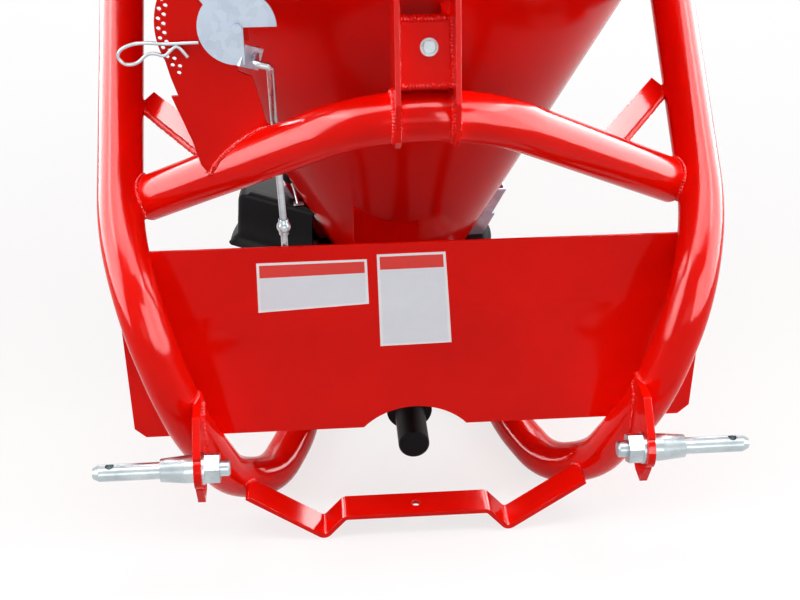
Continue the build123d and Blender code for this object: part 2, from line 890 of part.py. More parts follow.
def make_cap():
    tip = Plane(origin=(0, pins_y + cap_tip_back, input_height), z_dir=(0, 1, 0))
    cap = extrude(tip * Circle(cap_radius), cap_length)
    cap = fillet(cap.faces().sort_by(Axis.Y)[0].edges(), cap_round)
    inner = Plane(origin=(0, pins_y + cap_tip_back + cap_wall, input_height), z_dir=(0, 1, 0))
    return cap - extrude(inner * Circle(input_spline_radius + bearing_gap), cap_length)


def make_housing():
    front = pins_y + cap_tip_back + cap_length + cap_housing_gap
    start = Plane(origin=(0, front, input_height), z_dir=(0, 1, 0))
    length = -gearbox_half_length - gearbox_nose_length - front
    return extrude(start * (Circle(housing_radius) - Circle(input_spline_radius + running_gap)), length)


# Quadrant plate on the arch, with its arc of setting holes
def make_quadrant(arch):
    place = Pos(lever_pivot[0], pin_height + lever_pivot[1])
    step_x, step_z = quadrant_step
    web = outline(
        quadrant_tip,
        quadrant_heel,
        quadrant_heel_top,
        quadrant_edge_low,
        quadrant_step,
        (step_x + quadrant_step_width, step_z),
        quadrant_edge_high,
        quadrant_sector_low,
        (0, 0),
        (quadrant_right, 0),
        quadrant_waist,
        quadrant_inner_foot,
    )
    reach = 2 * quadrant_radius
    keep = outline(
        (quadrant_right, quadrant_sector_low[1]),
        (quadrant_right, quadrant_right),
        quadrant_top,
        (-reach, quadrant_top[1]),
        (-reach, quadrant_sector_low[1]),
    )
    face = web + (Circle(quadrant_radius) & keep)
    beyond = lever_hub_radius + ear_width
    notch_high = -3 * pivot_radius
    notch_low = lever_arm[1] - ear_width / 2 - notch_gap
    face -= outline(
        (-notch_gap, notch_high),
        (-notch_gap, notch_low),
        (beyond, notch_low - beyond * tan(radians(ear_tilt))),
        (beyond, notch_high),
    )
    for row in range(2):
        radius = setting_row_radius - setting_row_gap * row
        for i in range(setting_hole_count - row):
            angle = setting_first_angle + setting_hole_step * (i + row / 2)
            face -= Rot(0, 0, angle) * Pos(radius, 0) * Circle(setting_hole_radius)
    face -= Circle(pivot_radius + bearing_gap)
    plate = plate_along_y(place * face, pins_y + control_back, quadrant_thickness) - arch
    return max(plate.solids(), key=lambda s: s.volume)


# Lever in front of the quadrant, its pivot pin and its ear for the rod
def make_lever():
    px, pz = lever_pivot[0], pin_height + lever_pivot[1]
    front = pins_y + control_back - running_gap - lever_thickness
    stick = Rot(0, 0, lever_angle) * Pos(lever_length / 2, 0) * Rectangle(lever_length, lever_width)
    cut_low = lever_arm[1] + lever_thickness - ear_width / 2
    beyond = Pos(lever_fold + lever_hub_radius, cut_low / 2) * Rectangle(2 * lever_hub_radius, -cut_low)
    face = Circle(lever_hub_radius) + stick - beyond
    lever = plate_along_y(Pos(px, pz) * face, front, lever_thickness)
    blank = Box(ear_length, lever_thickness, ear_width, align=(Align.MIN, Align.MIN, Align.CENTER))
    ear = Rot(0, 0, ear_turn) * (Rot(0, ear_tilt, 0) * blank)
    rise = ear_length / 2 * sin(radians(ear_tilt))
    lever += Pos(px + lever_fold - lever_thickness / 2, front, pz + lever_arm[1] + rise) * ear
    hook = Plane(origin=(px + lever_arm[0], front - lever_thickness, pz + lever_arm[1]), z_dir=(0, 1, 0))
    lever -= extrude(hook * Circle(rod_radius + bearing_gap), 2 * ear_length)
    pivot = Plane(origin=(px, front - pivot_radius, pz), z_dir=(0, 1, 0))
    depth = pivot_radius + lever_thickness + running_gap + quadrant_thickness + 2 * pivot_radius
    lever += extrude(pivot * Circle(pivot_radius), depth)
    return lever


def make_grip():
    px, pz = lever_pivot[0], pin_height + lever_pivot[1]
    middle_y = pins_y + control_back - running_gap - lever_thickness / 2
    turn = radians(lever_angle)
    start = lever_length - grip_overlap
    base = Vector(px + start * cos(turn), middle_y, pz + start * sin(turn))
    plane = Plane(origin=base, x_dir=(0, 1, 0), z_dir=(cos(turn), 0, sin(turn)))
    grip = extrude(plane * Circle(grip_radius), grip_length)
    grip = fillet(grip.edges().filter_by(GeomType.CIRCLE), grip_round)
    blade = extrude(plane * Rectangle(lever_thickness, lever_width), grip_overlap)
    return grip - blade


# Rod from the lever's ear down behind the arch to the crank
def make_rod():
    hook_x = lever_pivot[0] + lever_arm[0]
    hook_z = lever_pivot[1] + lever_arm[1]
    front = control_back - running_gap - lever_thickness - 2 * rod_radius
    low_x, low_z = rod_low
    points = [
        at_hitch(hook_x, control_back + ear_length, hook_z),
        at_hitch(hook_x, front, hook_z),
        at_hitch(hook_x + rod_side, front, hook_z - rod_radius),
        at_hitch(hook_x + rod_side, control_back + rod_behind, hook_z - rod_bend_drop),
        at_hitch(low_x, crank_back - 2 * rod_radius, low_z + rod_straight),
        at_hitch(low_x, crank_back - 2 * rod_radius, low_z),
        at_hitch(low_x, crank_back + 3 * rod_radius, low_z),
    ]
    bends = [rod_hook_bend, rod_hook_bend, rod_upper_bend, rod_sweep, rod_foot_bend]
    return bent_bar(points, bends, rod_radius)


# Crank behind the shield and the bracket that carries its pivot
def make_crank():
    px, pz = crank_pivot
    front = pins_y + crank_back + running_gap
    reach = crank_drop / cos(crank_swing) + crank_finger_past
    arms = Circle(crank_hub_radius) + Pos(*lever_arm) * Circle(crank_end_radius)
    length = hypot(*lever_arm)
    turn = degrees(atan2(lever_arm[1], lever_arm[0]))
    arms += Rot(0, 0, turn) * Pos(length / 2, 0) * Rectangle(length, crank_arm_width)
    down = -90 - rate_range / 2
    arms += Rot(0, 0, down) * Pos(reach / 2, 0) * Rectangle(reach, crank_finger_width)
    arms -= Pos(*lever_arm) * Circle(rod_radius + bearing_gap)
    arms -= Circle(pivot_radius + bearing_gap)
    return plate_along_y(Pos(px, pz) * arms, front, crank_thickness)


def make_crank_bracket():
    px, pz = crank_pivot
    wall = pins_y + shield_back + shield_thickness
    start = Plane(origin=(px, wall, pz), z_dir=(0, 1, 0))
    depth = crank_back + running_gap - shield_back - shield_thickness
    boss = extrude(start * Circle(crank_hub_radius - 1), depth - running_gap)
    boss += extrude(start * Circle(pivot_radius), depth + 2 * crank_thickness)
    return boss


# Side hood of black plastic: roof, rounded shoulder, wall and flared lip
def make_hood():
    inner = cone_radius(hood_high) - hood_wall
    edge = hood_radius - hood_taper
    tip = hood_radius + hood_lip
    outside = FilletPolyline(
        (inner, hood_high),
        (edge, hood_high),
        (hood_radius, hood_low + hood_lip_height),
        (tip, hood_low),
        radius=[hood_shoulder, hood_lip],
    )
    inside = FilletPolyline(
        (inner, hood_high - hood_wall),
        (edge - hood_wall, hood_high - hood_wall),
        (hood_radius - hood_wall, hood_low + hood_lip_height - hood_wall / 2),
        (tip - hood_wall / 2, hood_low - hood_wall),
        radius=[hood_shoulder - hood_wall, hood_lip + hood_wall],
    )
    ends = [Line(outside @ 1, inside @ 1), Line(inside @ 0, outside @ 0)]
    face = make_face([outside, ends[0], inside, ends[1]])
    hood = revolve(Plane.XZ * face, axis=Axis.Z, revolution_arc=hood_sweep)
    hood = Rot(0, 0, hood_first) * hood
    front = Rot(0, 0, hood_front_turn) * Pos(-hood_front_offset - hood_radius, 0, hood_high) * Box(
        2 * hood_radius, 4 * hood_radius, hood_radius
    )
    notch_depth = cone_radius(hood_high) + strap_depth + slide_gap
    notch_width = strap_width + 2 * slide_gap
    notch = Pos(-notch_depth / 2, 0, hood_high) * Box(notch_depth, notch_width, 2 * hood_shoulder)
    hood = hood - front - notch - cone_solid(slide_gap)
    return max(hood.solids(), key=lambda s: s.volume)


def build_parts():
    side = make_side_tube()
    sides = [side, mirrored(side)]
    arch = make_arch(sides)
    lug = make_lug(arch)
    hitch_plate = make_hitch_plate(side)
    pin = make_pin()
    brace = make_brace(side, arch)
    bracket = make_side_bracket(side)
    strap = make_strap()
    rib = make_rib()
    rib_strap = make_rib_strap()
    pairs = {
        "frame_tube": side,
        "mast_lug": lug,
        "hitch_plate": hitch_plate,
        "hitch_pin": pin,
        "brace": brace,
        "hopper_side_bracket": bracket,
    }
    parts = {}
    for name, solid in pairs.items():
        parts[name + "_right"] = solid
        parts[name + "_left"] = mirrored(solid)
    parts["arch_tube"] = arch
    parts["front_shield"] = make_shield(sides)
    parts["bridge_bar"] = make_bridge(sides)
    parts["rear_cross_tube"] = make_cross_tube(sides)
    parts["hopper"] = make_hopper()
    parts["mast_cross_plate"] = make_cross_plate()
    parts["hopper_front_bracket"] = make_front_bracket()
    parts["hopper_floor"] = make_floor()
    parts["shutter"] = make_shutter()
    parts["outlet_ring"] = make_ring()
    parts["side_strap_right"] = strap
    parts["side_strap_left"] = rib_strap
    parts["side_rib"] = rib
    parts["hopper_front_web"] = make_front_web()
    parts["spinner_disc"] = make_disc()
    parts["spinner_vanes"] = make_vanes()
    parts["spinner_hub"] = make_hub()
    parts["spindle"] = make_spindle()
    parts["agitator"] = make_agitator()
    parts["gearbox"] = make_gearbox()
    parts["gearbox_plate"] = make_gearbox_plate(sides)
    parts["input_shaft"] = make_input_shaft()
    parts["input_shaft_cap"] = make_cap()
    parts["input_shaft_housing"] = make_housing()
    parts["rate_quadrant"] = make_quadrant(arch)
    parts["rate_lever"] = make_lever()
    parts["lever_grip"] = make_grip()
    parts["rate_rod"] = make_rod()
    parts["shutter_crank"] = make_crank()
    parts["crank_bracket"] = make_crank_bracket()
    parts["side_hood"] = make_hood()
    return parts


os.makedirs("parts", exist_ok=True)
for node, solid in build_parts().items():
    export_step(solid, f"parts/{node}.step")
    print(node)
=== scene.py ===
import json
import math
import bpy
import bmesh
from mathutils import Matrix, Vector
from mathutils.bvhtree import BVHTree


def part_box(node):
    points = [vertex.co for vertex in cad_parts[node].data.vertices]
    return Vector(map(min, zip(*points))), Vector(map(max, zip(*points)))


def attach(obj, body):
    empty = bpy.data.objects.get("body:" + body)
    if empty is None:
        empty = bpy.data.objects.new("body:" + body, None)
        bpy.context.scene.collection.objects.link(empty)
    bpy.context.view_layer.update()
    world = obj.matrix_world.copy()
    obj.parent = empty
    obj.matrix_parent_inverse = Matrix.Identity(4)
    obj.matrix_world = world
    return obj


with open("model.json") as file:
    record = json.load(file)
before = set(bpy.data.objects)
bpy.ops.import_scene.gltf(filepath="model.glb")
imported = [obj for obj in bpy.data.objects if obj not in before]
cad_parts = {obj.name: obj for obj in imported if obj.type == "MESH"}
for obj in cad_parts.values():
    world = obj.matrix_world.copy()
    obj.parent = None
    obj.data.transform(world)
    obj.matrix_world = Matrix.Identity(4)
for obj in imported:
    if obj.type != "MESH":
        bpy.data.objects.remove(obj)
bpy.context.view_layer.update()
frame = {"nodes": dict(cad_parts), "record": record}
nodes = frame["nodes"]
scene = bpy.context.scene
print("frame loaded:", len(nodes), "nodes")


# Camera and light
cameraSettings = {
    "place": (-0.1346, -1.8406, 1.2950),
    "tilt": 58.54,   # degrees from straight down
    "turn": -4.32,
    "lens": 58.97,
    "sensor": 36.0,
    "clipStart": 0.02,
}

lightSettings = {
    "world": 0.36,
    "background": 1.0,
    "floorSeen": (0.92, 0.92, 0.92),
    "floorTone": 0.985,   # how dark the floor's clouds are beside it
    "floorCloud": 1.5,
    "floorBounce": (0.50, 0.50, 0.50),
    "floorHeight": -0.0006,
    "floorSize": 90.0,
    "shadowShare": 0.26,   # how much of the shadow the camera sees on the floor
    "shadowReach": (0.9, 2.6),   # from the machine's middle, where the floor turns plain white
}

# soft light, name: place, point it looks at, width, height, power
lampTable = {
    "leftSoft": ((-2.6, -1.0, 1.9), (0.0, -0.2, 0.4), 0.9, 2.4, 44.0),
    "rightSoft": ((2.7, -1.0, 1.8), (0.0, -0.2, 0.4), 0.9, 2.4, 44.0),
    "topSoft": ((0.1, -0.9, 3.0), (0.0, -0.2, 0.4), 2.2, 0.8, 36.0),
    "frontFill": ((0.2, -3.6, 1.1), (0.0, -0.2, 0.4), 2.6, 1.0, 20.0),
    "rearFill": ((0.3, 3.4, 1.5), (0.0, 0.2, 0.6), 2.6, 1.4, 44.0),
}

# studio panels that only show as reflections on paint, in the same columns
panelTable = {
    "leftPanel": ((-3.0, 0.9, 2.1), (0.0, 0.9, 2.1), 6.4, 4.0, 1900.0),
    "rightPanel": ((3.0, -0.3, 2.1), (0.0, -0.3, 2.1), 8.6, 4.0, 2500.0),
    "cornerPanel": ((2.1, -4.9, 2.1), (0.0, -0.2, 0.6), 2.2, 3.6, 590.0),
    "roofPanel": ((0.0, 1.5, 3.6), (0.0, 1.5, 0.0), 7.0, 7.0, 3600.0),
}

painted = bpy.data.collections.new("painted")   # pieces that show the panels
white = (1.0, 1.0, 1.0)


def makeCamera(settings):
    data = bpy.data.cameras.new("photoCamera")
    data.lens = settings["lens"]
    data.sensor_width = settings["sensor"]
    data.clip_start = settings["clipStart"]
    camera = bpy.data.objects.new("photoCamera", data)
    camera.location = settings["place"]
    camera.rotation_euler = (math.radians(settings["tilt"]), 0.0, math.radians(settings["turn"]))
    scene.collection.objects.link(camera)
    scene.camera = camera


def makeLamps(table, panels):
    for name, (place, target, width, height, power) in table.items():
        data = bpy.data.lights.new(name, "AREA")
        data.shape = "RECTANGLE"
        data.size = width
        data.size_y = height
        data.energy = power
        lamp = bpy.data.objects.new(name, data)
        way = Vector(target) - Vector(place)
        turn = way.to_track_quat("-Z", "Y").to_matrix().to_4x4()
        lamp.matrix_world = Matrix.Translation(place) @ turn
        lamp.visible_camera = False
        lamp.visible_diffuse = not panels
        if panels:
            lamp.light_linking.receiver_collection = painted
        scene.collection.objects.link(lamp)


# Node helpers
# adds a node, sets its options and fills or links its sockets
def addNode(tree, kind, sockets=None, **options):
    node = tree.nodes.new(kind)
    for name, value in options.items():
        setattr(node, name, value)
    for name, value in (sockets or {}).items():
        socket = node.inputs[name]
        if isinstance(value, bpy.types.NodeSocket):
            tree.links.new(value, socket)
        else:
            socket.default_value = value
    return node


def maths(tree, operation, first, second):
    return addNode(tree, "ShaderNodeMath", {0: first, 1: second}, operation=operation).outputs[0]


def lengthOf(tree, vector):
    return addNode(tree, "ShaderNodeVectorMath", {0: vector}, operation="LENGTH").outputs["Value"]


def startMaterial(name):
    material = bpy.data.materials.new(name)
    material.use_nodes = True
    tree = material.node_tree
    tree.nodes.clear()
    where = addNode(tree, "ShaderNodeTexCoord").outputs["Object"]
    return material, tree, where


def endMaterial(tree, shader):
    addNode(tree, "ShaderNodeOutputMaterial", {"Surface": shader})


def endPrincipled(tree, sockets):
    endMaterial(tree, addNode(tree, "ShaderNodeBsdfPrincipled", sockets).outputs["BSDF"])


def opaque(colour):
    return (*colour, 1.0)


# spreads a value from start..end over low..high
def ramp(tree, value, low, high, start=0.0, end=1.0):
    node = addNode(tree, "ShaderNodeMapRange", {
        "Value": value, "From Min": start, "From Max": end, "To Min": low, "To Max": high,
    })
    return node.outputs["Result"]


# two colours or colour sockets mixed; 0, 6 and 7 are the node's sockets for colours
def mixColour(tree, share, first, second):
    return addNode(tree, "ShaderNodeMix", {0: share, 6: first, 7: second}, data_type="RGBA").outputs[2]


def noise(tree, where, scale, detail=3.0, roughness=0.55):
    node = addNode(tree, "ShaderNodeTexNoise", {
        "Vector": where, "Scale": scale, "Detail": detail, "Roughness": roughness,
    })
    return node.outputs["Fac"]


def bump(tree, height, strength, distance, normal=None):
    sockets = {"Height": height, "Strength": strength, "Distance": distance}
    if normal is not None:
        sockets["Normal"] = normal
    return addNode(tree, "ShaderNodeBump", sockets).outputs["Normal"]


# a normal that rounds the sharp edges
def softEdge(tree, radius):
    return addNode(tree, "ShaderNodeBevel", {"Radius": radius}, samples=4).outputs["Normal"]


# In the looks below, a relief is a bump's strength and height, and a share is the second
# colour's lowest and highest part with the noise values between which it grows

# Powder coat: even colour, faint clouding, slow waves, orange peel, a softly rounded edge
paintSettings = {
    "frame": {
        "colour": (0.74, 0.0040, 0.0006), "deep": (0.64, 0.0028, 0.0004),
        "roughness": (0.09, 0.14), "gloss": 0.09,
    },
    # the hopper's red, darker than the frame's, is partly painted shade
    "hopper": {
        "colour": (0.58, 0.0026, 0.0005), "deep": (0.50, 0.0018, 0.0003),
        "roughness": (0.12, 0.18), "gloss": 0.035,
    },
    "cloudScale": 5.0,
    "deepShare": (0.0, 1.0, 0.35, 0.70),
    "roughScale": 24.0,
    "waveScale": 9.0,
    "waveRelief": (0.25, 0.0012),
    "peelScale": 330.0,
    "peelRelief": (0.35, 0.00010),
    "edgeRadius": 0.0011,
}


def makePaint(name, look, settings):
    material, tree, where = startMaterial(name)
    cloud = noise(tree, where, settings["cloudScale"])
    share = ramp(tree, cloud, *settings["deepShare"])
    rough = ramp(tree, noise(tree, where, settings["roughScale"]), *look["roughness"])
    normal = softEdge(tree, settings["edgeRadius"])
    for kind in ("wave", "peel"):
        height = noise(tree, where, settings[kind + "Scale"], detail=1.0)
        normal = bump(tree, height, *settings[kind + "Relief"], normal)
    endPrincipled(tree, {
        "Base Color": mixColour(tree, share, opaque(look["colour"]), opaque(look["deep"])),
        "Roughness": rough,
        "Specular IOR Level": look["gloss"],
        "Normal": normal,
    })
    return material


# Metals: plated pins, spangled sheet, brushed disc, turned steel, cast housing
metalSettings = {
    "zinc": {
        "colour": (0.54, 0.60, 0.62), "dark": (0.34, 0.39, 0.42), "roughness": (0.22, 0.36),
        "cloudScale": 40.0, "darkShare": (0.0, 0.8, 0.35, 0.75),
        "stretch": (60.0, 900.0, 900.0), "relief": (0.25, 0.0002), "edgeRadius": 0.0008,
    },
    "galvanised": {
        "colour": (0.56, 0.65, 0.76), "dark": (0.38, 0.46, 0.56), "roughness": (0.30, 0.48),
        "cloudScale": 18.0, "darkShare": (0.0, 0.7, 0.05, 0.60),
        "spangle": 95.0, "relief": (0.06, 0.0003), "edgeRadius": 0.0008, "metallic": 0.62,
    },
    "stainless": {
        "colour": (0.58, 0.58, 0.57), "dark": (0.44, 0.44, 0.43), "roughness": (0.24, 0.40),
        "cloudScale": 14.0, "darkShare": (0.0, 0.8, 0.35, 0.70),
        "rings": 1400.0, "relief": (0.22, 0.0002),
    },
    "steel": {
        "colour": (0.40, 0.39, 0.38), "dark": (0.22, 0.21, 0.20), "roughness": (0.30, 0.52),
        "cloudScale": 40.0, "darkShare": (0.0, 0.8, 0.35, 0.75),
        "stretch": (700.0, 60.0, 700.0), "relief": (0.25, 0.0002), "edgeRadius": 0.0008,
    },
    "iron": {
        "colour": (0.17, 0.18, 0.19), "dark": (0.11, 0.115, 0.12), "roughness": (0.48, 0.68),
        "cloudScale": 22.0, "darkShare": (0.0, 1.0, 0.35, 0.65),
        "grain": (210.0, 5.0, 0.65), "relief": (0.55, 0.0006), "edgeRadius": 0.003, "metallic": 0.25,
    },
}


# cloud sets the dark tone's share, texture the roughness
def endMetal(tree, look, cloud, texture, normal):
    share = ramp(tree, cloud, *look["darkShare"])
    endPrincipled(tree, {
        "Base Color": mixColour(tree, share, opaque(look["colour"]), opaque(look["dark"])),
        "Roughness": ramp(tree, texture, *look["roughness"]),
        "Metallic": look.get("metallic", 1.0),
        "Normal": normal,
    })


# bright plate with faint lines along the axis that is stretched least
def makePlated(name, look):
    material, tree, where = startMaterial(name)
    stretched = addNode(tree, "ShaderNodeMapping", {"Vector": where, "Scale": look["stretch"]})
    lines = noise(tree, stretched.outputs["Vector"], 1.0, detail=4.0)
    cloud = noise(tree, where, look["cloudScale"])
    normal = bump(tree, lines, *look["relief"], softEdge(tree, look["edgeRadius"]))
    endMetal(tree, look, cloud, lines, normal)
    return material


def makeSpangled(name, look):
    material, tree, where = startMaterial(name)
    cells = addNode(tree, "ShaderNodeTexVoronoi", {"Vector": where, "Scale": look["spangle"]}, feature="F1")
    flakes = addNode(tree, "ShaderNodeSeparateColor", {"Color": cells.outputs["Color"]}).outputs[0]
    cloud = maths(tree, "MULTIPLY", flakes, noise(tree, where, look["cloudScale"]))
    normal = bump(tree, flakes, *look["relief"], softEdge(tree, look["edgeRadius"]))
    endMetal(tree, look, cloud, flakes, normal)
    return material


# sheet with fine rings round the vertical axis
def makeBrushedRound(name, look):
    material, tree, where = startMaterial(name)
    parts = addNode(tree, "ShaderNodeSeparateXYZ", {"Vector": where}).outputs
    flat = addNode(tree, "ShaderNodeCombineXYZ", {"X": parts["X"], "Y": parts["Y"]}).outputs["Vector"]
    rings = addNode(tree, "ShaderNodeCombineXYZ", {"X": lengthOf(tree, flat), "Y": parts["Z"]})
    lines = noise(tree, rings.outputs["Vector"], look["rings"], detail=2.0)
    cloud = noise(tree, where, look["cloudScale"])
    endMetal(tree, look, cloud, lines, bump(tree, lines, *look["relief"]))
    return material


def makeCast(name, look):
    material, tree, where = startMaterial(name)
    grain = noise(tree, where, *look["grain"])
    cloud = noise(tree, where, look["cloudScale"])
    normal = bump(tree, grain, *look["relief"], softEdge(tree, look["edgeRadius"]))
    endMetal(tree, look, cloud, grain, normal)
    return material


# Moulded black plastic and printed labels
plasticSettings = {
    "colour": (0.0048, 0.0048, 0.0056),
    "worn": (0.0085, 0.0086, 0.0112),
    "wornShare": (0.0, 0.7, 0.35, 0.75),
    "cloudScale": 16.0,
    "roughness": (0.30, 0.46),
    "gloss": 0.07,
    "grainScale": 900.0,
    "grainRelief": (0.5, 0.00008),
    "edgeRadius": 0.0012,
}

labelSettings = {
    "white": (0.86, 0.87, 0.89),
    "red": (0.74, 0.03, 0.02),
    "pale": (0.74, 0.79, 0.85),
    "tone": 0.93,   # how dark its clouds are beside it
    "cloudScale": 60.0,
    "roughness": (0.30, 0.42),
    "grainScale": 700.0,
    "grainRelief": (0.15, 0.00005),
}


def makePlastic(name, settings):
    material, tree, where = startMaterial(name)
    cloud = noise(tree, where, settings["cloudScale"])
    grain = noise(tree, where, settings["grainScale"], detail=2.0)
    share = ramp(tree, cloud, *settings["wornShare"])
    endPrincipled(tree, {
        "Base Color": mixColour(tree, share, opaque(settings["colour"]), opaque(settings["worn"])),
        "Roughness": ramp(tree, cloud, *settings["roughness"]),
        "Specular IOR Level": settings["gloss"],
        "Normal": bump(tree, grain, *settings["grainRelief"], softEdge(tree, settings["edgeRadius"])),
    })
    return material


def makeLabel(name, colour, settings):
    material, tree, where = startMaterial(name)
    cloud = noise(tree, where, settings["cloudScale"])
    grain = noise(tree, where, settings["grainScale"], detail=2.0)
    tone = tuple(channel * settings["tone"] for channel in colour)
    endPrincipled(tree, {
        "Base Color": mixColour(tree, cloud, opaque(colour), opaque(tone)),
        "Roughness": ramp(tree, cloud, *settings["roughness"]),
        "Normal": bump(tree, grain, *settings["grainRelief"]),
    })
    return material


# 1 on camera, glossy and transmission rays, else 0
def directRay(tree):
    ray = addNode(tree, "ShaderNodeLightPath").outputs
    mirror = maths(tree, "MAXIMUM", ray["Is Glossy Ray"], ray["Is Transmission Ray"])
    return maths(tree, "MAXIMUM", ray["Is Camera Ray"], mirror)


def mixShader(tree, share, first, second):
    return addNode(tree, "ShaderNodeMixShader", {0: share, 1: first.outputs[0], 2: second.outputs[0]})


# white where the camera and reflections see it, with the machine's soft shadow kept
def makeFloor(settings):
    material, tree, where = startMaterial("paleFloor")
    cloud = noise(tree, where, settings["floorCloud"])
    tone = tuple(channel * settings["floorTone"] for channel in settings["floorSeen"])
    colour = mixColour(tree, cloud, opaque(settings["floorSeen"]), opaque(tone))
    ground = addNode(tree, "ShaderNodeBsdfDiffuse", {"Color": colour})
    bounce = addNode(tree, "ShaderNodeBsdfDiffuse", {"Color": opaque(settings["floorBounce"])})
    glow = addNode(tree, "ShaderNodeEmission", {"Color": opaque(white), "Strength": settings["background"]})
    share = ramp(tree, lengthOf(tree, where), settings["shadowShare"], 0.0, *settings["shadowReach"])
    seen = mixShader(tree, share, glow, ground)
    endMaterial(tree, mixShader(tree, directRay(tree), bounce, seen).outputs[0])
    bpy.ops.mesh.primitive_plane_add(size=settings["floorSize"], location=(0, 0, settings["floorHeight"]))
    floor = bpy.context.object
    floor.name = "floor"
    floor.data.materials.append(material)


def makeWorld(settings):
    world = bpy.data.worlds.new("studio")
    scene.world = world
    world.use_nodes = True
    tree = world.node_tree
    tree.nodes.clear()
    soft, plain = [
        addNode(tree, "ShaderNodeBackground", {"Color": opaque(white), "Strength": settings[strength]})
        for strength in ("world", "background")
    ]
    mixed = mixShader(tree, directRay(tree), soft, plain)
    addNode(tree, "ShaderNodeOutputWorld", {"Surface": mixed.outputs[0]})


scene.view_settings.view_transform = "Standard"
makeCamera(cameraSettings)
makeLamps(lampTable, False)
makeLamps(panelTable, True)
makeWorld(lightSettings)
makeFloor(lightSettings)

finishes = {
    "framePaint": makePaint("framePaint", paintSettings["frame"], paintSettings),
    "hopperPaint": makePaint("hopperPaint", paintSettings["hopper"], paintSettings),
    "zincPlate": makePlated("zincPlate", metalSettings["zinc"]),
    "galvanised": makeSpangled("galvanised", metalSettings["galvanised"]),
    "stainless": makeBrushedRound("stainless", metalSettings["stainless"]),
    "turnedSteel": makePlated("turnedSteel", metalSettings["steel"]),
    "castIron": makeCast("castIron", metalSettings["iron"]),
    "blackPlastic": makePlastic("blackPlastic", plasticSettings),
    "labelWhite": makeLabel("labelWhite", labelSettings["white"], labelSettings),
    "labelRed": makeLabel("labelRed", labelSettings["red"], labelSettings),
    "labelPale": makeLabel("labelPale", labelSettings["pale"], labelSettings),
}

slotFinish = {
    "red_paint": "framePaint",
    "hopper_paint": "hopperPaint",
    "zinc": "zincPlate",
    "galvanised": "galvanised",
    "stainless": "stainless",
    "bare_steel": "turnedSteel",
    "cast_iron": "castIron",
    "black_plastic": "blackPlastic",
}
paints = ("framePaint", "hopperPaint")

for row in frame["record"]["subparts"]:
    node = nodes[row["node"]]
    finish = slotFinish[row["material_slot"]]
    node.data.materials.clear()
    node.data.materials.append(finishes[finish])
    if finish in paints:
        painted.objects.link(node)
for name in ("hopper_front_web", "side_rib"):   # painted with the hopper they stand on, in its darker red that is partly painted shade
    nodes[name].data.materials[0] = finishes["hopperPaint"]
print("materials:", len(finishes))


# Mesh helpers
meshSettings = {
    "nodeWeld": 2e-5,   # corners closer than this are one
    "wireWeld": 1e-6,
    "onAxis": 1e-6,     # a smaller radius is a point on the axis
    "wireOrder": 3,
    "wireRoundness": 4,
    "wireSmooth": 60.0,
}


# a copy of CAD nodes as one mesh whose triangles share their corners
def mergedNode(*names):
    mesh = bmesh.new()
    for name in names:
        mesh.from_mesh(nodes[name].data)
    bmesh.ops.remove_doubles(mesh, verts=mesh.verts, dist=meshSettings["nodeWeld"])
    bmesh.ops.recalc_face_normals(mesh, faces=mesh.faces)
    return mesh


def surfaceOf(*names):
    mesh = mergedNode(*names)
    tree = BVHTree.FromBMesh(mesh)
    mesh.free()
    return tree


# takes a bmesh or a mesh, gives it its finish and lets it ride on its body
def addPiece(name, mesh, finish, body="frame", smooth=35.0):
    if isinstance(mesh, bmesh.types.BMesh):
        data = bpy.data.meshes.new(name)
        mesh.to_mesh(data)
        mesh.free()
    else:
        data = mesh
        data.name = name
    piece = bpy.data.objects.new(name, data)
    scene.collection.objects.link(piece)
    if data.materials:
        data.materials.clear()
    names = [finish] if isinstance(finish, str) else finish
    for each in names:
        data.materials.append(finishes[each])
    data.shade_smooth()
    data.set_sharp_from_angle(angle=math.radians(smooth))
    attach(piece, body)
    if names[0] in paints:
        painted.objects.link(piece)


# (x, y) places on a circle, the first at a number of degrees
def onCircle(radius, count, first=0.0):
    angles = [math.radians(first + 360.0 / count * i) for i in range(count)]
    return [(radius * math.cos(angle), radius * math.sin(angle)) for angle in angles]


# a closed turned piece from (radius, height) points about an axis
def turnedPart(profile, place, way, steps=32):
    mesh = bmesh.new()
    rings = []
    for radius, height in profile:
        if radius < meshSettings["onAxis"]:
            rings.append([mesh.verts.new((0, 0, height))])
        else:
            rings.append([mesh.verts.new((x, y, height)) for x, y in onCircle(radius, steps)])
    pairs = list(zip(rings, rings[1:]))
    if len(rings[0]) > 1:
        pairs.append((rings[-1], rings[0]))
    for low, high in pairs:
        for i in range(steps):
            j = (i + 1) % steps
            corners = [low[i % len(low)], low[j % len(low)], high[j % len(high)], high[i % len(high)]]
            corners = [c for k, c in enumerate(corners) if c not in corners[:k]]
            if len(corners) > 2:
                mesh.faces.new(corners)
    bmesh.ops.recalc_face_normals(mesh, faces=mesh.faces)
    turn = Vector(way).to_track_quat("Z", "Y").to_matrix().to_4x4()
    bmesh.ops.transform(mesh, matrix=Matrix.Translation(place) @ turn, verts=mesh.verts)
    return mesh


def joinMeshes(meshes):
    joined = bmesh.new()
    for mesh in meshes:
        data = bpy.data.meshes.new("part")
        mesh.to_mesh(data)
        mesh.free()
        joined.from_mesh(data)
        bpy.data.meshes.remove(data)
    return joined


# an object's final shape as a plain mesh; the object goes
def plainMesh(holder):
    scene.collection.objects.link(holder)
    bpy.context.view_layer.update()
    data = bpy.data.meshes.new_from_object(holder.evaluated_get(bpy.context.evaluated_depsgraph_get()))
    holder.modifiers.clear()
    bpy.data.objects.remove(holder)
    return data


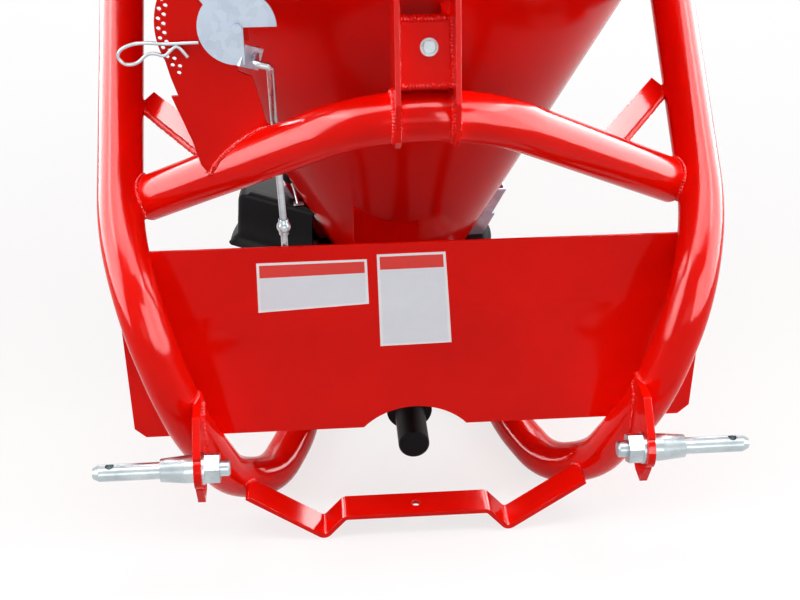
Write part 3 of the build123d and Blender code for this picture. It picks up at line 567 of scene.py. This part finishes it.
# a round wire along a smooth line through control points
def tubeAlong(points, radius, resolution):
    curve = bpy.data.curves.new("wire", "CURVE")
    curve.dimensions = "3D"
    curve.bevel_depth = radius
    curve.bevel_resolution = meshSettings["wireRoundness"]
    curve.use_fill_caps = True
    curve.resolution_u = resolution
    spline = curve.splines.new("NURBS")
    spline.points.add(len(points) - 1)
    for point, place in zip(spline.points, points):
        point.co = (*place, 1.0)
    spline.order_u = meshSettings["wireOrder"]
    spline.use_endpoint_u = True
    data = plainMesh(bpy.data.objects.new("wire", curve))
    mesh = bmesh.new()
    mesh.from_mesh(data)
    bpy.data.meshes.remove(data)
    bmesh.ops.remove_doubles(mesh, verts=mesh.verts, dist=meshSettings["wireWeld"])
    bmesh.ops.recalc_face_normals(mesh, faces=mesh.faces)
    return mesh


def bevelledBox(size, place, edge):
    mesh = bmesh.new()
    bmesh.ops.create_cube(mesh, size=1.0)
    bmesh.ops.transform(mesh, matrix=Matrix.Diagonal((*size, 1.0)), verts=mesh.verts)
    bmesh.ops.bevel(mesh, geom=mesh.edges[:], offset=edge, segments=2, profile=0.5, affect="EDGES")
    bmesh.ops.transform(mesh, matrix=Matrix.Translation(place), verts=mesh.verts)
    return mesh


# The hopper's outer skin, which other pieces follow or stay out of
skinSettings = {
    "castFrom": 0.8,   # from the axis, outside the rim
    "gap": 0.0003,
}
hopperSkin = surfaceOf("hopper")


def onSkin(way, height):
    return hopperSkin.ray_cast(way * skinSettings["castFrom"] + Vector((0, 0, height)), -way)[0]


# moves corners that lie under the skin out to it
def keepOutside(mesh):
    for vert in mesh.verts:
        way = Vector((vert.co.x, vert.co.y, 0)).normalized()
        hit = onSkin(way, vert.co.z)
        if hit is not None and vert.co.xy.length < hit.xy.length + skinSettings["gap"]:
            vert.co.xy = way.xy * (hit.xy.length + skinSettings["gap"])


# Geometry Nodes helpers
def newTree(name, inputs):
    tree = bpy.data.node_groups.new(name, "GeometryNodeTree")
    tree.interface.new_socket("Geometry", in_out="INPUT", socket_type="NodeSocketGeometry")
    for label, kind, value in inputs:
        socket = tree.interface.new_socket(label, in_out="INPUT", socket_type=kind)
        socket.default_value = value
    tree.interface.new_socket("Geometry", in_out="OUTPUT", socket_type="NodeSocketGeometry")
    return tree, addNode(tree, "NodeGroupInput").outputs


def endTree(tree, instances, finish):
    real = addNode(tree, "GeometryNodeRealizeInstances", {"Geometry": instances})
    dressed = addNode(tree, "GeometryNodeSetMaterial", {
        "Geometry": real.outputs[0], "Material": finishes[finish],
    })
    addNode(tree, "NodeGroupOutput", {"Geometry": dressed.outputs[0]})


# runs the tree on a mesh and gives back the plain result
def runTree(tree, mesh, values):
    holder = bpy.data.objects.new("holder", mesh)
    modifier = holder.modifiers.new("nodes", "NODES")
    modifier.node_group = tree
    for item in tree.interface.items_tree:
        if item.in_out == "INPUT" and item.name in values:
            modifier[item.identifier] = values[item.name]
    return plainMesh(holder)


# Weld beads: short ripples along every seam between two welded pieces
weldSettings = {
    "beadRadius": 0.0040,
    "thinBead": 0.0018,    # on the shield's thin sheet
    "thin": ("crank_bracket",),
    "rippleStep": 0.0038,
    "spread": (0.86, 1.12),
    "flat": 0.72,          # a ripple's length along the seam, beside its width
    "dropSides": (8, 5),
    "seamGap": 0.0007,
    "sharpAngle": 22.0,
    "seed": 7,
    # (piece, the pieces it is welded to)
    "seams": [
        ("arch_tube", ("frame_tube_right", "frame_tube_left")),
        ("mast_lug_right", ("arch_tube",)),
        ("mast_lug_left", ("arch_tube",)),
        ("mast_cross_plate", ("mast_lug_right", "mast_lug_left")),
        ("rate_quadrant", ("arch_tube",)),
        ("hitch_plate_right", ("frame_tube_right",)),
        ("hitch_plate_left", ("frame_tube_left",)),
        ("brace_right", ("frame_tube_right", "arch_tube")),
        ("brace_left", ("frame_tube_left", "arch_tube")),
        ("bridge_bar", ("frame_tube_right", "frame_tube_left")),
        ("rear_cross_tube", ("frame_tube_right", "frame_tube_left")),
        ("hopper_side_bracket_right", ("frame_tube_right",)),
        ("hopper_side_bracket_left", ("frame_tube_left",)),
        ("crank_bracket", ("front_shield",)),
    ],
}


def makeWeldTree(settings):
    tree, given = newTree("weldRipples", [
        ("Bead Radius", "NodeSocketFloat", settings["beadRadius"]),
        ("Ripple Step", "NodeSocketFloat", settings["rippleStep"]),
        ("Seed", "NodeSocketInt", settings["seed"]),
    ])
    line = addNode(tree, "GeometryNodeMeshToCurve", {"Mesh": given["Geometry"]})
    even = addNode(tree, "GeometryNodeResampleCurve", {
        "Curve": line.outputs[0], "Length": given["Ripple Step"],
    }, mode="LENGTH")
    along = addNode(tree, "GeometryNodeInputTangent")
    turn = addNode(tree, "FunctionNodeAlignRotationToVector", {"Vector": along.outputs[0]}, axis="Z")
    random = addNode(tree, "FunctionNodeRandomValue", {"Seed": given["Seed"]}, data_type="FLOAT")
    random.inputs[2].default_value, random.inputs[3].default_value = settings["spread"]
    size = random.outputs[1]
    flat = maths(tree, "MULTIPLY", size, settings["flat"])
    scale = addNode(tree, "ShaderNodeCombineXYZ", {"X": size, "Y": size, "Z": flat})
    sides, rings = settings["dropSides"]
    drop = addNode(tree, "GeometryNodeMeshUVSphere", {
        "Segments": sides, "Rings": rings, "Radius": given["Bead Radius"],
    })
    many = addNode(tree, "GeometryNodeInstanceOnPoints", {
        "Points": even.outputs[0], "Instance": drop.outputs[0],
        "Rotation": turn.outputs[0], "Scale": scale.outputs[0],
    })
    endTree(tree, many.outputs[0], "framePaint")
    return tree


weldTree = makeWeldTree(weldSettings)


# a bead along the lines between points, as a piece; gives back its number of faces
def makeBead(name, points, pairs, finish, radius, settings):
    lines = bpy.data.meshes.new("seam")
    lines.from_pydata(points, pairs, [])
    result = runTree(weldTree, lines, {
        "Bead Radius": radius, "Ripple Step": settings["rippleStep"], "Seed": settings["seed"],
    })
    addPiece(name, result, finish, smooth=meshSettings["wireSmooth"])
    return len(result.polygons)


# Hopper's own seams: one up the back of the cone and one round it under the band
hopperSeams = {
    "low": 0.300,
    "high": 1.112,
    "steps": 40,
    "ringHeight": 1.114,
    "ringSteps": 120,
    "beadRadius": 0.0021,
    "rippleStep": 0.0042,
    "seed": 3,
}


def makeHopperSeams(settings):
    low, high, steps = settings["low"], settings["high"], settings["steps"]
    back = Vector((0, 1, 0))
    upright = [onSkin(back, low + (high - low) * i / steps) for i in range(steps + 1)]
    circle = onCircle(1.0, settings["ringSteps"])
    ring = [onSkin(Vector((x, y, 0)), settings["ringHeight"]) for x, y in circle]
    for name, points, closed in (("hopper_seam", upright, False), ("band_seam", ring, True)):
        pairs = [(i, i + 1) for i in range(len(points) - 1)]
        if closed:
            pairs.append((len(points) - 1, 0))
        places = [tuple(point) for point in points]
        makeBead(name, places, pairs, "hopperPaint", settings["beadRadius"], settings)


makeHopperSeams(hopperSeams)


# the sharp edges of a piece that lie on the pieces it is welded to
def seamEdges(piece, others, settings):
    mesh = mergedNode(piece)
    near = surfaceOf(*others)
    sharp = math.radians(settings["sharpAngle"])
    kept = []
    for edge in mesh.edges:
        if len(edge.link_faces) != 2 or edge.calc_face_angle(0.0) < sharp:
            continue
        if all(near.find_nearest(v.co, settings["seamGap"])[0] is not None for v in edge.verts):
            kept.append(tuple(tuple(v.co) for v in edge.verts))
    mesh.free()
    return kept


def makeWelds(settings):
    total = 0
    for piece, others in settings["seams"]:
        edges = seamEdges(piece, others, settings)
        if not edges:
            print("no seam found:", piece)
            continue
        places = {}
        for edge in edges:
            for corner in edge:
                places.setdefault(corner, len(places))
        pairs = [(places[a], places[b]) for a, b in edges]
        radius = settings["thinBead" if piece in settings["thin"] else "beadRadius"]
        total += makeBead("weld_" + piece, list(places), pairs, "framePaint", radius, settings)
    print("weld ripples:", total, "faces")


makeWelds(weldSettings)


# Bolts: washer, hexagon head and a low crown, placed by point and direction
boltSettings = {
    "headAcross": 0.0170,
    "headHeight": 0.0064,
    "washerRadius": 0.0110,
    "washerHeight": 0.0016,
    "roundSides": 24,
    "headSides": 6,
    "crown": (0.84, 0.74, 0.10),   # lower and upper radius and height, beside the head's
    "smooth": 30.0,
}
boltSizes = {
    "Head Radius": boltSettings["headAcross"] / math.sqrt(3),
    "Head Height": boltSettings["headHeight"],
    "Washer Radius": boltSettings["washerRadius"],
    "Washer Height": boltSettings["washerHeight"],
}


def makeBoltTree(settings):
    tree, given = newTree("bolts", [(name, "NodeSocketFloat", size) for name, size in boltSizes.items()])

    def lifted(shape, rise):
        lift = addNode(tree, "ShaderNodeCombineXYZ", {"Z": rise})
        return addNode(tree, "GeometryNodeTransform", {
            "Geometry": shape.outputs[0], "Translation": lift.outputs[0],
        }).outputs[0]

    def drum(sides, radius, low, height):
        sockets = {"Vertices": sides, "Radius": radius, "Depth": height}
        middle = maths(tree, "ADD", maths(tree, "MULTIPLY", height, 0.5), low)
        return lifted(addNode(tree, "GeometryNodeMeshCylinder", sockets), middle)

    washer, head = given["Washer Height"], given["Head Height"]
    wide, narrow, thin = settings["crown"]
    crown = addNode(tree, "GeometryNodeMeshCone", {
        "Vertices": settings["roundSides"],
        "Radius Bottom": maths(tree, "MULTIPLY", given["Head Radius"], wide),
        "Radius Top": maths(tree, "MULTIPLY", given["Head Radius"], narrow),
        "Depth": maths(tree, "MULTIPLY", head, thin),
    })
    joined = addNode(tree, "GeometryNodeJoinGeometry")
    for part in (
        drum(settings["roundSides"], given["Washer Radius"], 0.0, washer),
        drum(settings["headSides"], given["Head Radius"], washer, head),
        lifted(crown, maths(tree, "ADD", washer, head)),
    ):
        tree.links.new(part, joined.inputs[0])
    way = addNode(tree, "GeometryNodeInputNamedAttribute", {"Name": "way"}, data_type="FLOAT_VECTOR")
    size = addNode(tree, "GeometryNodeInputNamedAttribute", {"Name": "size"}, data_type="FLOAT")
    turn = addNode(tree, "FunctionNodeAlignRotationToVector", {"Vector": way.outputs[0]}, axis="Z")
    many = addNode(tree, "GeometryNodeInstanceOnPoints", {
        "Points": given["Geometry"], "Instance": joined.outputs[0],
        "Rotation": turn.outputs[0], "Scale": size.outputs[0],
    })
    endTree(tree, many.outputs[0], "zincPlate")
    return tree


boltTree = makeBoltTree(boltSettings)


# bolts at (point, direction, size) rows, as one piece on a body
def makeBolts(name, body, rows):
    places, ways, sizes = zip(*rows)
    points = bpy.data.meshes.new("points")
    points.from_pydata([tuple(place) for place in places], [], [])
    way = points.attributes.new("way", "FLOAT_VECTOR", "POINT")
    way.data.foreach_set("vector", [part for direction in ways for part in direction])
    size = points.attributes.new("size", "FLOAT", "POINT")
    size.data.foreach_set("value", sizes)
    bolts = runTree(boltTree, points, boltSizes)
    addPiece(name, bolts, "zincPlate", body, smooth=boltSettings["smooth"])


boltPlaces = {
    "plate": {"x": 0.0043, "height": 0.767, "thickness": 0.005, "size": 0.95},
    "ring": {"radius": 0.136, "count": 6, "first": 75.0, "size": 0.62},
    "hub": {"radius": 0.0225, "count": 4, "first": 45.0, "size": 0.6},
    "cover": {"half": (0.046, 0.058), "size": 0.8},
    "foot": {"half": (0.072, 0.062), "size": 1.0},
}
up = (0, 0, 1)


# square to the leaning plate
def plateBolt(settings):
    low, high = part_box("mast_cross_plate")
    tall, deep = high.z - low.z, high.y - low.y - settings["thickness"]
    share = (settings["height"] - low.z) / tall
    place = (settings["x"], low.y + deep * share, settings["height"])
    return [(place, Vector((0, -tall, deep)).normalized(), settings["size"])]


def boltRing(node, settings):
    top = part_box(node)[1].z
    circle = onCircle(settings["radius"], settings["count"], settings["first"])
    return [((x, y, top), up, settings["size"]) for x, y in circle]


def boltCorners(node, settings):
    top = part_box(node)[1].z
    wide, deep = settings["half"]
    return [((x, y, top), up, settings["size"]) for x in (-wide, wide) for y in (-deep, deep)]


makeBolts("cross_plate_bolt", "frame", plateBolt(boltPlaces["plate"]))
makeBolts("ring_bolts", "frame", boltRing("outlet_ring", boltPlaces["ring"]))
makeBolts("hub_bolts", "spinner", boltRing("spinner_hub", boltPlaces["hub"]))
makeBolts("gearbox_cover_bolts", "frame", boltCorners("gearbox", boltPlaces["cover"]))
makeBolts("gearbox_foot_bolts", "frame", boltCorners("gearbox_plate", boltPlaces["foot"]))
print("bolts placed")


# Gearbox: flange round the shaft's housing, rear bearing cover, side ribs and oil plug
gearSettings = {
    "flange": (0.0343, 0.0452, 0.0065),   # inner radius, outer radius, depth
    "flangeEdge": 0.25,                   # share of its depth
    "cover": (0.0380, 0.0060),            # radius, depth
    "coverEdge": 0.002,
    "coverStep": 0.6,                     # share of its depth
    "coverDish": (0.45, 0.40),            # shares of its radius
    "boltCircle": 0.0397,
    "coverCircle": 0.0300,
    "boltCount": 4,
    "boltFirst": 45.0,
    "boltSize": 0.5,
    "rib": (0.0030, 0.0040, 0.0660),
    "ribEdge": 0.0009,
    "ribDrop": 0.004,
    "ribPlaces": (-0.040, -0.014, 0.014, 0.040),
    "plugHeight": 0.100,
    "plugSize": 0.9,
    "sides": 40,
}


def makeGearDetails(settings):
    gearLow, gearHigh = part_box("gearbox")
    shaftLow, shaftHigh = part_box("input_shaft_housing")
    middle = (shaftLow.z + shaftHigh.z) / 2
    front, rear = (0, -1, 0), (0, 1, 0)
    inner, outer, deep = settings["flange"]
    edge = settings["flangeEdge"]
    ring = [(inner, 0), (outer, 0), (outer, deep * (1 - edge)), (outer - deep * edge, deep), (inner, deep)]
    wide, thick = settings["cover"]
    step = thick * settings["coverStep"]
    dishWide, dishNarrow = [wide * share for share in settings["coverDish"]]
    lid = [
        (0, 0), (wide, 0), (wide, step), (wide - settings["coverEdge"], thick),
        (dishWide, thick), (dishNarrow, step), (0, step),
    ]
    flange = turnedPart(ring, (0, gearLow.y, middle), front, settings["sides"])
    cover = turnedPart(lid, (0, gearHigh.y, middle), rear, settings["sides"])
    addPiece("gearbox_flange", flange, "castIron")
    addPiece("gearbox_rear_cover", cover, "castIron")
    rows = []
    for y, radius, way in (
        (gearLow.y - deep, settings["boltCircle"], front),
        (gearHigh.y + thick, settings["coverCircle"], rear),
    ):
        circle = onCircle(radius, settings["boltCount"], settings["boltFirst"])
        rows += [((x, y, middle + rise), way, settings["boltSize"]) for x, rise in circle]
    rows.append(((gearHigh.x, 0.0, settings["plugHeight"]), (1, 0, 0), settings["plugSize"]))
    makeBolts("gearbox_small_bolts", "frame", rows)
    ribHeight = (gearLow.z + gearHigh.z) / 2 - settings["ribDrop"]
    ribs = [
        bevelledBox(settings["rib"], (side, y, ribHeight), settings["ribEdge"])
        for side in (gearLow.x, gearHigh.x) for y in settings["ribPlaces"]
    ]
    addPiece("gearbox_ribs", joinMeshes(ribs), "castIron")


makeGearDetails(gearSettings)


# Ribs moulded round the lever's grip
gripSettings = {
    "ribs": 9,
    "step": 0.0098,
    "radius": 0.0158,
    "inner": 0.0143,
    "width": 0.0040,
    "crown": 0.0005,       # how far a rib's middle stands above its shoulders
    "shoulder": 0.6,       # where they are, as a share of half its width
    "lean": 126.0,
    "sides": 28,
    "smooth": 60.0,
}


def makeGripRibs(settings):
    low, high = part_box("lever_grip")
    middle = (low + high) / 2
    lean = math.radians(settings["lean"])
    way = Vector((math.cos(lean), 0, math.sin(lean)))
    inner, outer, half = settings["inner"], settings["radius"], settings["width"] / 2
    below, shoulder = outer - settings["crown"], half * settings["shoulder"]
    ring = [(inner, -half), (below, -shoulder), (outer, 0), (below, shoulder), (inner, half)]
    rings = []
    for i in range(settings["ribs"]):
        place = middle + way * settings["step"] * (i - (settings["ribs"] - 1) / 2)
        rings.append(turnedPart(ring, place, way, settings["sides"]))
    addPiece("grip_ribs", joinMeshes(rings), "blackPlastic", "lever", smooth=settings["smooth"])


makeGripRibs(gripSettings)
print("gearbox and grip details made")


# Labels: blank plates of colour that follow the shield's face
labelPlaces = {
    # (x, height) of the corners from the top left clockwise; the header's share of the height
    "left": {
        "corners": ((-0.2102, 0.4413), (-0.0653, 0.4417), (-0.0636, 0.3762), (-0.2111, 0.3691)),
        "header": 0.30,
    },
    "right": {
        "corners": ((-0.0522, 0.4479), (0.0386, 0.4485), (0.0487, 0.3099), (-0.0487, 0.3082)),
        "header": 0.16,
    },
    "border": 0.0035,
    "lift": 0.00025,
    "thickness": 0.0003,
    "columns": 24,
    "rowsPerLabel": 36,
    "castFrom": -0.6,   # y, in front of the shield
    "smooth": 20.0,
}


# a label's lines across it: its border, then even steps from start to the far border
def labelLines(edge, start, count):
    lines = [0.0, edge * 0.5, edge]
    if start > edge:
        lines.append(start)
    lines += [start + (1 - edge - start) * i / count for i in range(1, count)]
    return lines + [1 - edge, 1 - edge * 0.5, 1.0]


# a thin blank sheet on the shield: white border, red header, pale field
def makeShieldLabel(name, place, settings, shield):
    topLeft, topRight, lowRight, lowLeft = [Vector(corner) for corner in place["corners"]]
    header = place["header"]
    edgeU = settings["border"] / (topRight - topLeft).length
    edgeV = settings["border"] / (topLeft - lowLeft).length
    us = labelLines(edgeU, edgeU, settings["columns"])
    vs = labelLines(edgeV, header, settings["rowsPerLabel"])
    mesh = bmesh.new()
    grid = []
    for v in vs:
        line = []
        for u in us:
            flat = topLeft.lerp(topRight, u).lerp(lowLeft.lerp(lowRight, u), v)
            start = Vector((flat.x, settings["castFrom"], flat.y))
            hit, normal = shield.ray_cast(start, Vector((0, 1, 0)))[:2]
            line.append(mesh.verts.new(hit + normal * settings["lift"]))
        grid.append(line)
    for i in range(len(vs) - 1):
        for j in range(len(us) - 1):
            face = mesh.faces.new((grid[i][j], grid[i + 1][j], grid[i + 1][j + 1], grid[i][j + 1]))
            middleU, middleV = (us[j] + us[j + 1]) / 2, (vs[i] + vs[i + 1]) / 2
            if edgeU < middleU < 1 - edgeU and edgeV < middleV < 1 - edgeV:
                face.material_index = 1 if middleV < header else 2
    bmesh.ops.recalc_face_normals(mesh, faces=mesh.faces)
    if sum(face.normal.y for face in mesh.faces) > 0:
        bmesh.ops.reverse_faces(mesh, faces=mesh.faces)
    rim = bmesh.ops.extrude_face_region(mesh, geom=mesh.faces[:])
    for item in rim["geom"]:
        if isinstance(item, bmesh.types.BMVert):
            item.co.y -= settings["thickness"]
    bmesh.ops.recalc_face_normals(mesh, faces=mesh.faces)
    addPiece(name, mesh, ["labelWhite", "labelRed", "labelPale"], smooth=settings["smooth"])


shieldFace = surfaceOf("front_shield")
for side in ("left", "right"):
    makeShieldLabel("label_" + side, labelPlaces[side], labelPlaces, shieldFace)
print("labels placed")


# Spring clip on the quadrant's setting holes
clipSettings = {
    "wire": 0.0021,
    "steps": 10,
    "ahead": 0.0052,   # the wire's front, before the quadrant's face
    # (x, height) of the wire's line, from the long leg round the eye to the wavy leg
    "line": [
        (-0.2583, 0.7558), (-0.2783, 0.7555), (-0.2994, 0.7550), (-0.3166, 0.7572),
        (-0.3335, 0.7566), (-0.3500, 0.7500), (-0.3535, 0.7395), (-0.3440, 0.7300),
        (-0.3300, 0.7325), (-0.3190, 0.7440), (-0.3080, 0.7440), (-0.2990, 0.7395),
        (-0.2905, 0.7480), (-0.2840, 0.7530), (-0.2780, 0.7470), (-0.2722, 0.7384),
    ],
}


def makeClip(settings):
    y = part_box("rate_quadrant")[0].y - settings["ahead"] + settings["wire"]
    wire = tubeAlong([(x, y, z) for x, z in settings["line"]], settings["wire"], settings["steps"])
    addPiece("spring_clip", wire, "zincPlate", smooth=meshSettings["wireSmooth"])


makeClip(clipSettings)


# Front wall of the side hood: a sheet before the hood's cut edge, from the cone to its side wall
wallSettings = {
    "turn": 56.2,          # degrees from the machine's left to the wall's outward way
    "offset": 0.1343,      # from the cone's axis to the wall's back
    "thickness": 0.0026,
    "top": 0.3713,
    "bottom": 0.2815,
    "corner": 0.010,
    "lap": 0.012,          # how far the top edge laps over the roof
    "bulge": 0.004,
    "lip": 0.010,
    "lipHeight": 0.016,
    "near": 0.0695,        # where it starts beside the cone
    "endRound": 0.012,
    "sideRadius": (0.254, 0.248),   # of the hood's side wall, low and high
    "sideLip": 0.013,
    "sideLipCurve": 1.6,
    "shoulder": 0.015,
    "steps": {"lap": 3, "corner": 8, "wall": 12, "lip": 7, "along": 24, "end": 8},
    "smooth": 40.0,
}


# outer radius of the hood's side at a height
def hoodSide(height, settings):
    low, high = settings["sideRadius"]
    roof, shoulder = settings["top"], settings["shoulder"]
    foot = settings["bottom"] + settings["lipHeight"]
    if height < foot:
        share = (foot - height) / settings["lipHeight"]
        return low + settings["sideLip"] * share ** settings["sideLipCurve"]
    if height < roof - shoulder:
        return low + (high - low) * (height - foot) / (roof - shoulder - foot)
    rise = min(height - roof + shoulder, shoulder)
    return high - shoulder + math.sqrt(shoulder ** 2 - rise ** 2)


# (distance from the axis, height) down the wall's outside: lap, rounded corner, face, lip
def wallLine(settings):
    steps = settings["steps"]
    front = settings["offset"] + settings["thickness"]
    top, corner = settings["top"] + settings["thickness"], settings["corner"]
    foot = settings["bottom"] + settings["lipHeight"]
    inner, under = front - corner, top - corner
    line = [(inner - settings["lap"] * (1 - i / steps["lap"]), top) for i in range(steps["lap"])]
    for i in range(steps["corner"] + 1):
        angle = math.radians(90 - 90 * i / steps["corner"])
        line.append((inner + corner * math.cos(angle), under + corner * math.sin(angle)))
    for i in range(1, steps["wall"] + 1):
        share = i / steps["wall"]
        line.append((front + settings["bulge"] * math.sin(math.pi * share), under + (foot - under) * share))
    for i in range(1, steps["lip"] + 1):
        share = i / steps["lip"]
        line.append((front + settings["lip"] * share ** 2, foot - settings["lipHeight"] * share))
    return line


def makeHoodWall(settings):
    steps, offset, endRound = settings["steps"], settings["offset"], settings["endRound"]
    turn = math.radians(settings["turn"])
    out = Vector((-math.cos(turn), -math.sin(turn), 0))
    along = Vector((-math.sin(turn), math.cos(turn), 0))
    mesh = bmesh.new()
    grid = []
    for away, height in wallLine(settings):
        straight = math.sqrt(hoodSide(height, settings) ** 2 - offset ** 2) - endRound
        clear = onSkin(out, height).xy.length + skinSettings["gap"]
        beside = math.sqrt(max(clear ** 2 - (away - settings["thickness"]) ** 2, 0.0))
        near = max(settings["near"], beside)
        row = [(near + (straight - near) * i / steps["along"], away) for i in range(steps["along"] + 1)]
        back = min(away, offset)
        for i in range(1, steps["end"] + 1):
            angle = math.radians(90 * i / steps["end"])
            row.append((straight + endRound * math.sin(angle), back + (away - back) * math.cos(angle)))
        grid.append([mesh.verts.new(out * d + along * t + Vector((0, 0, height))) for t, d in row])
    for one, two in zip(grid, grid[1:]):
        for i in range(len(one) - 1):
            mesh.faces.new((one[i], one[i + 1], two[i + 1], two[i]))
    if sum(face.normal.dot(out) * face.calc_area() for face in mesh.faces) < 0:
        bmesh.ops.reverse_faces(mesh, faces=mesh.faces)
    mesh.normal_update()
    bmesh.ops.solidify(mesh, geom=mesh.faces[:], thickness=settings["thickness"])
    keepOutside(mesh)
    bmesh.ops.recalc_face_normals(mesh, faces=mesh.faces)
    addPiece("hood_front_wall", mesh, "blackPlastic", smooth=settings["smooth"])


makeHoodWall(wallSettings)


# Rate rod's eye joint, a ball between two collars on the plain rod
eyeSettings = {
    "place": (-0.172, -0.333, 0.489),
    "bore": 0.0046,
    "ball": 0.0092,
    "ballSteps": 12,
    "collar": 0.0066,
    "collarHeight": 0.0050,
    "collarEdge": (0.9, 0.8),   # shares of its radius and height
    "smooth": 50.0,
}


def makeRodEye(settings):
    bore, ball, collar, tall = [settings[name] for name in ("bore", "ball", "collar", "collarHeight")]
    neck = math.sqrt(ball ** 2 - collar ** 2)
    narrow, edge = collar * settings["collarEdge"][0], tall * settings["collarEdge"][1]
    upper = [(collar, neck), (collar, neck + edge), (narrow, neck + tall), (bore, neck + tall)]
    profile = [(radius, -height) for radius, height in reversed(upper)]
    for i in range(1, settings["ballSteps"]):
        height = -neck + 2 * neck * i / settings["ballSteps"]
        profile.append((math.sqrt(ball ** 2 - height ** 2), height))
    eye = turnedPart(profile + upper, settings["place"], up)
    addPiece("rod_eye", eye, "zincPlate", "rod", smooth=settings["smooth"])


makeRodEye(eyeSettings)


# Hood's stay: a bent wire from the wall's top to a black knob beside the cone's strap
staySettings = {
    "wire": 0.0024,
    "steps": 8,
    "points": [
        (-0.1560, -0.0500, 0.3750), (-0.1570, -0.0440, 0.3800), (-0.1600, -0.0360, 0.3930),
        (-0.1640, -0.0300, 0.4030), (-0.1665, -0.0285, 0.4070),
    ],
    "knob": (0.0090, 0.0160),   # radius, height
    # in shares of them
    "knobProfile": [
        (0.0, -0.35), (0.62, -0.35), (0.72, -0.05), (1.0, 0.12),
        (1.0, 0.50), (0.86, 0.66), (0.5, 0.78), (0.0, 0.80),
    ],
    "knobSides": 24,
    "foot": (0.016, 0.012, 0.0022),
    "footPlace": (0.002, 0.002, 0.0003),   # from the wire's first point
    "footEdge": 0.0007,
    "smooth": 50.0,
}


def makeStay(settings):
    points = [Vector(point) for point in settings["points"]]
    way = (points[-1] - points[-2]).normalized()
    wide, tall = settings["knob"]
    profile = [(wide * radius, tall * height) for radius, height in settings["knobProfile"]]
    knob = turnedPart(profile, points[-1], way, settings["knobSides"])
    keepOutside(knob)
    addPiece("stay_knob", knob, "blackPlastic")
    foot = bevelledBox(settings["foot"], points[0] + Vector(settings["footPlace"]), settings["footEdge"])
    stay = joinMeshes([tubeAlong(points, settings["wire"], settings["steps"]), foot])
    keepOutside(stay)
    addPiece("hood_stay", stay, "zincPlate", smooth=settings["smooth"])


makeStay(staySettings)
print("hood wall, rod eye and stay made")


# Plugs in the tubes' rear ends
plugSettings = {
    "radius": 0.0292,
    # (share of the radius, height) from the stem in the tube to the dome's top
    "profile": [
        (0.0, -0.006), (0.86, -0.006), (0.86, 0.0002), (1.0, 0.0002), (1.0, 0.0018),
        (0.95, 0.0030), (0.7, 0.004925), (0.35, 0.00615), (0.0, 0.0065),
    ],
    "sides": 40,
    "sink": 0.0034,
    # a tube's end faces: how far they face the rear, how near its rearmost point, how low
    "facing": 0.9,
    "reach": 0.02,
    "below": 0.08,
}


def isEnd(face, rear, settings):
    middle = face.calc_center_median()
    near = middle.y > rear - settings["reach"] and middle.z < settings["below"]
    return near and face.normal.y > settings["facing"]


def makePlug(side, settings):
    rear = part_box("frame_tube_" + side)[1].y
    mesh = mergedNode("frame_tube_" + side)
    ends = [face for face in mesh.faces if isEnd(face, rear, settings)]
    area = sum(face.calc_area() for face in ends)
    middle = sum((face.calc_center_median() * face.calc_area() for face in ends), Vector()) / area
    way = sum((face.normal * face.calc_area() for face in ends), Vector()).normalized()
    mesh.free()
    profile = [(settings["radius"] * share, height) for share, height in settings["profile"]]
    plug = turnedPart(profile, middle - way * settings["sink"], way, settings["sides"])
    addPiece("tube_plug_" + side, plug, "blackPlastic")


for side in ("right", "left"):
    makePlug(side, plugSettings)
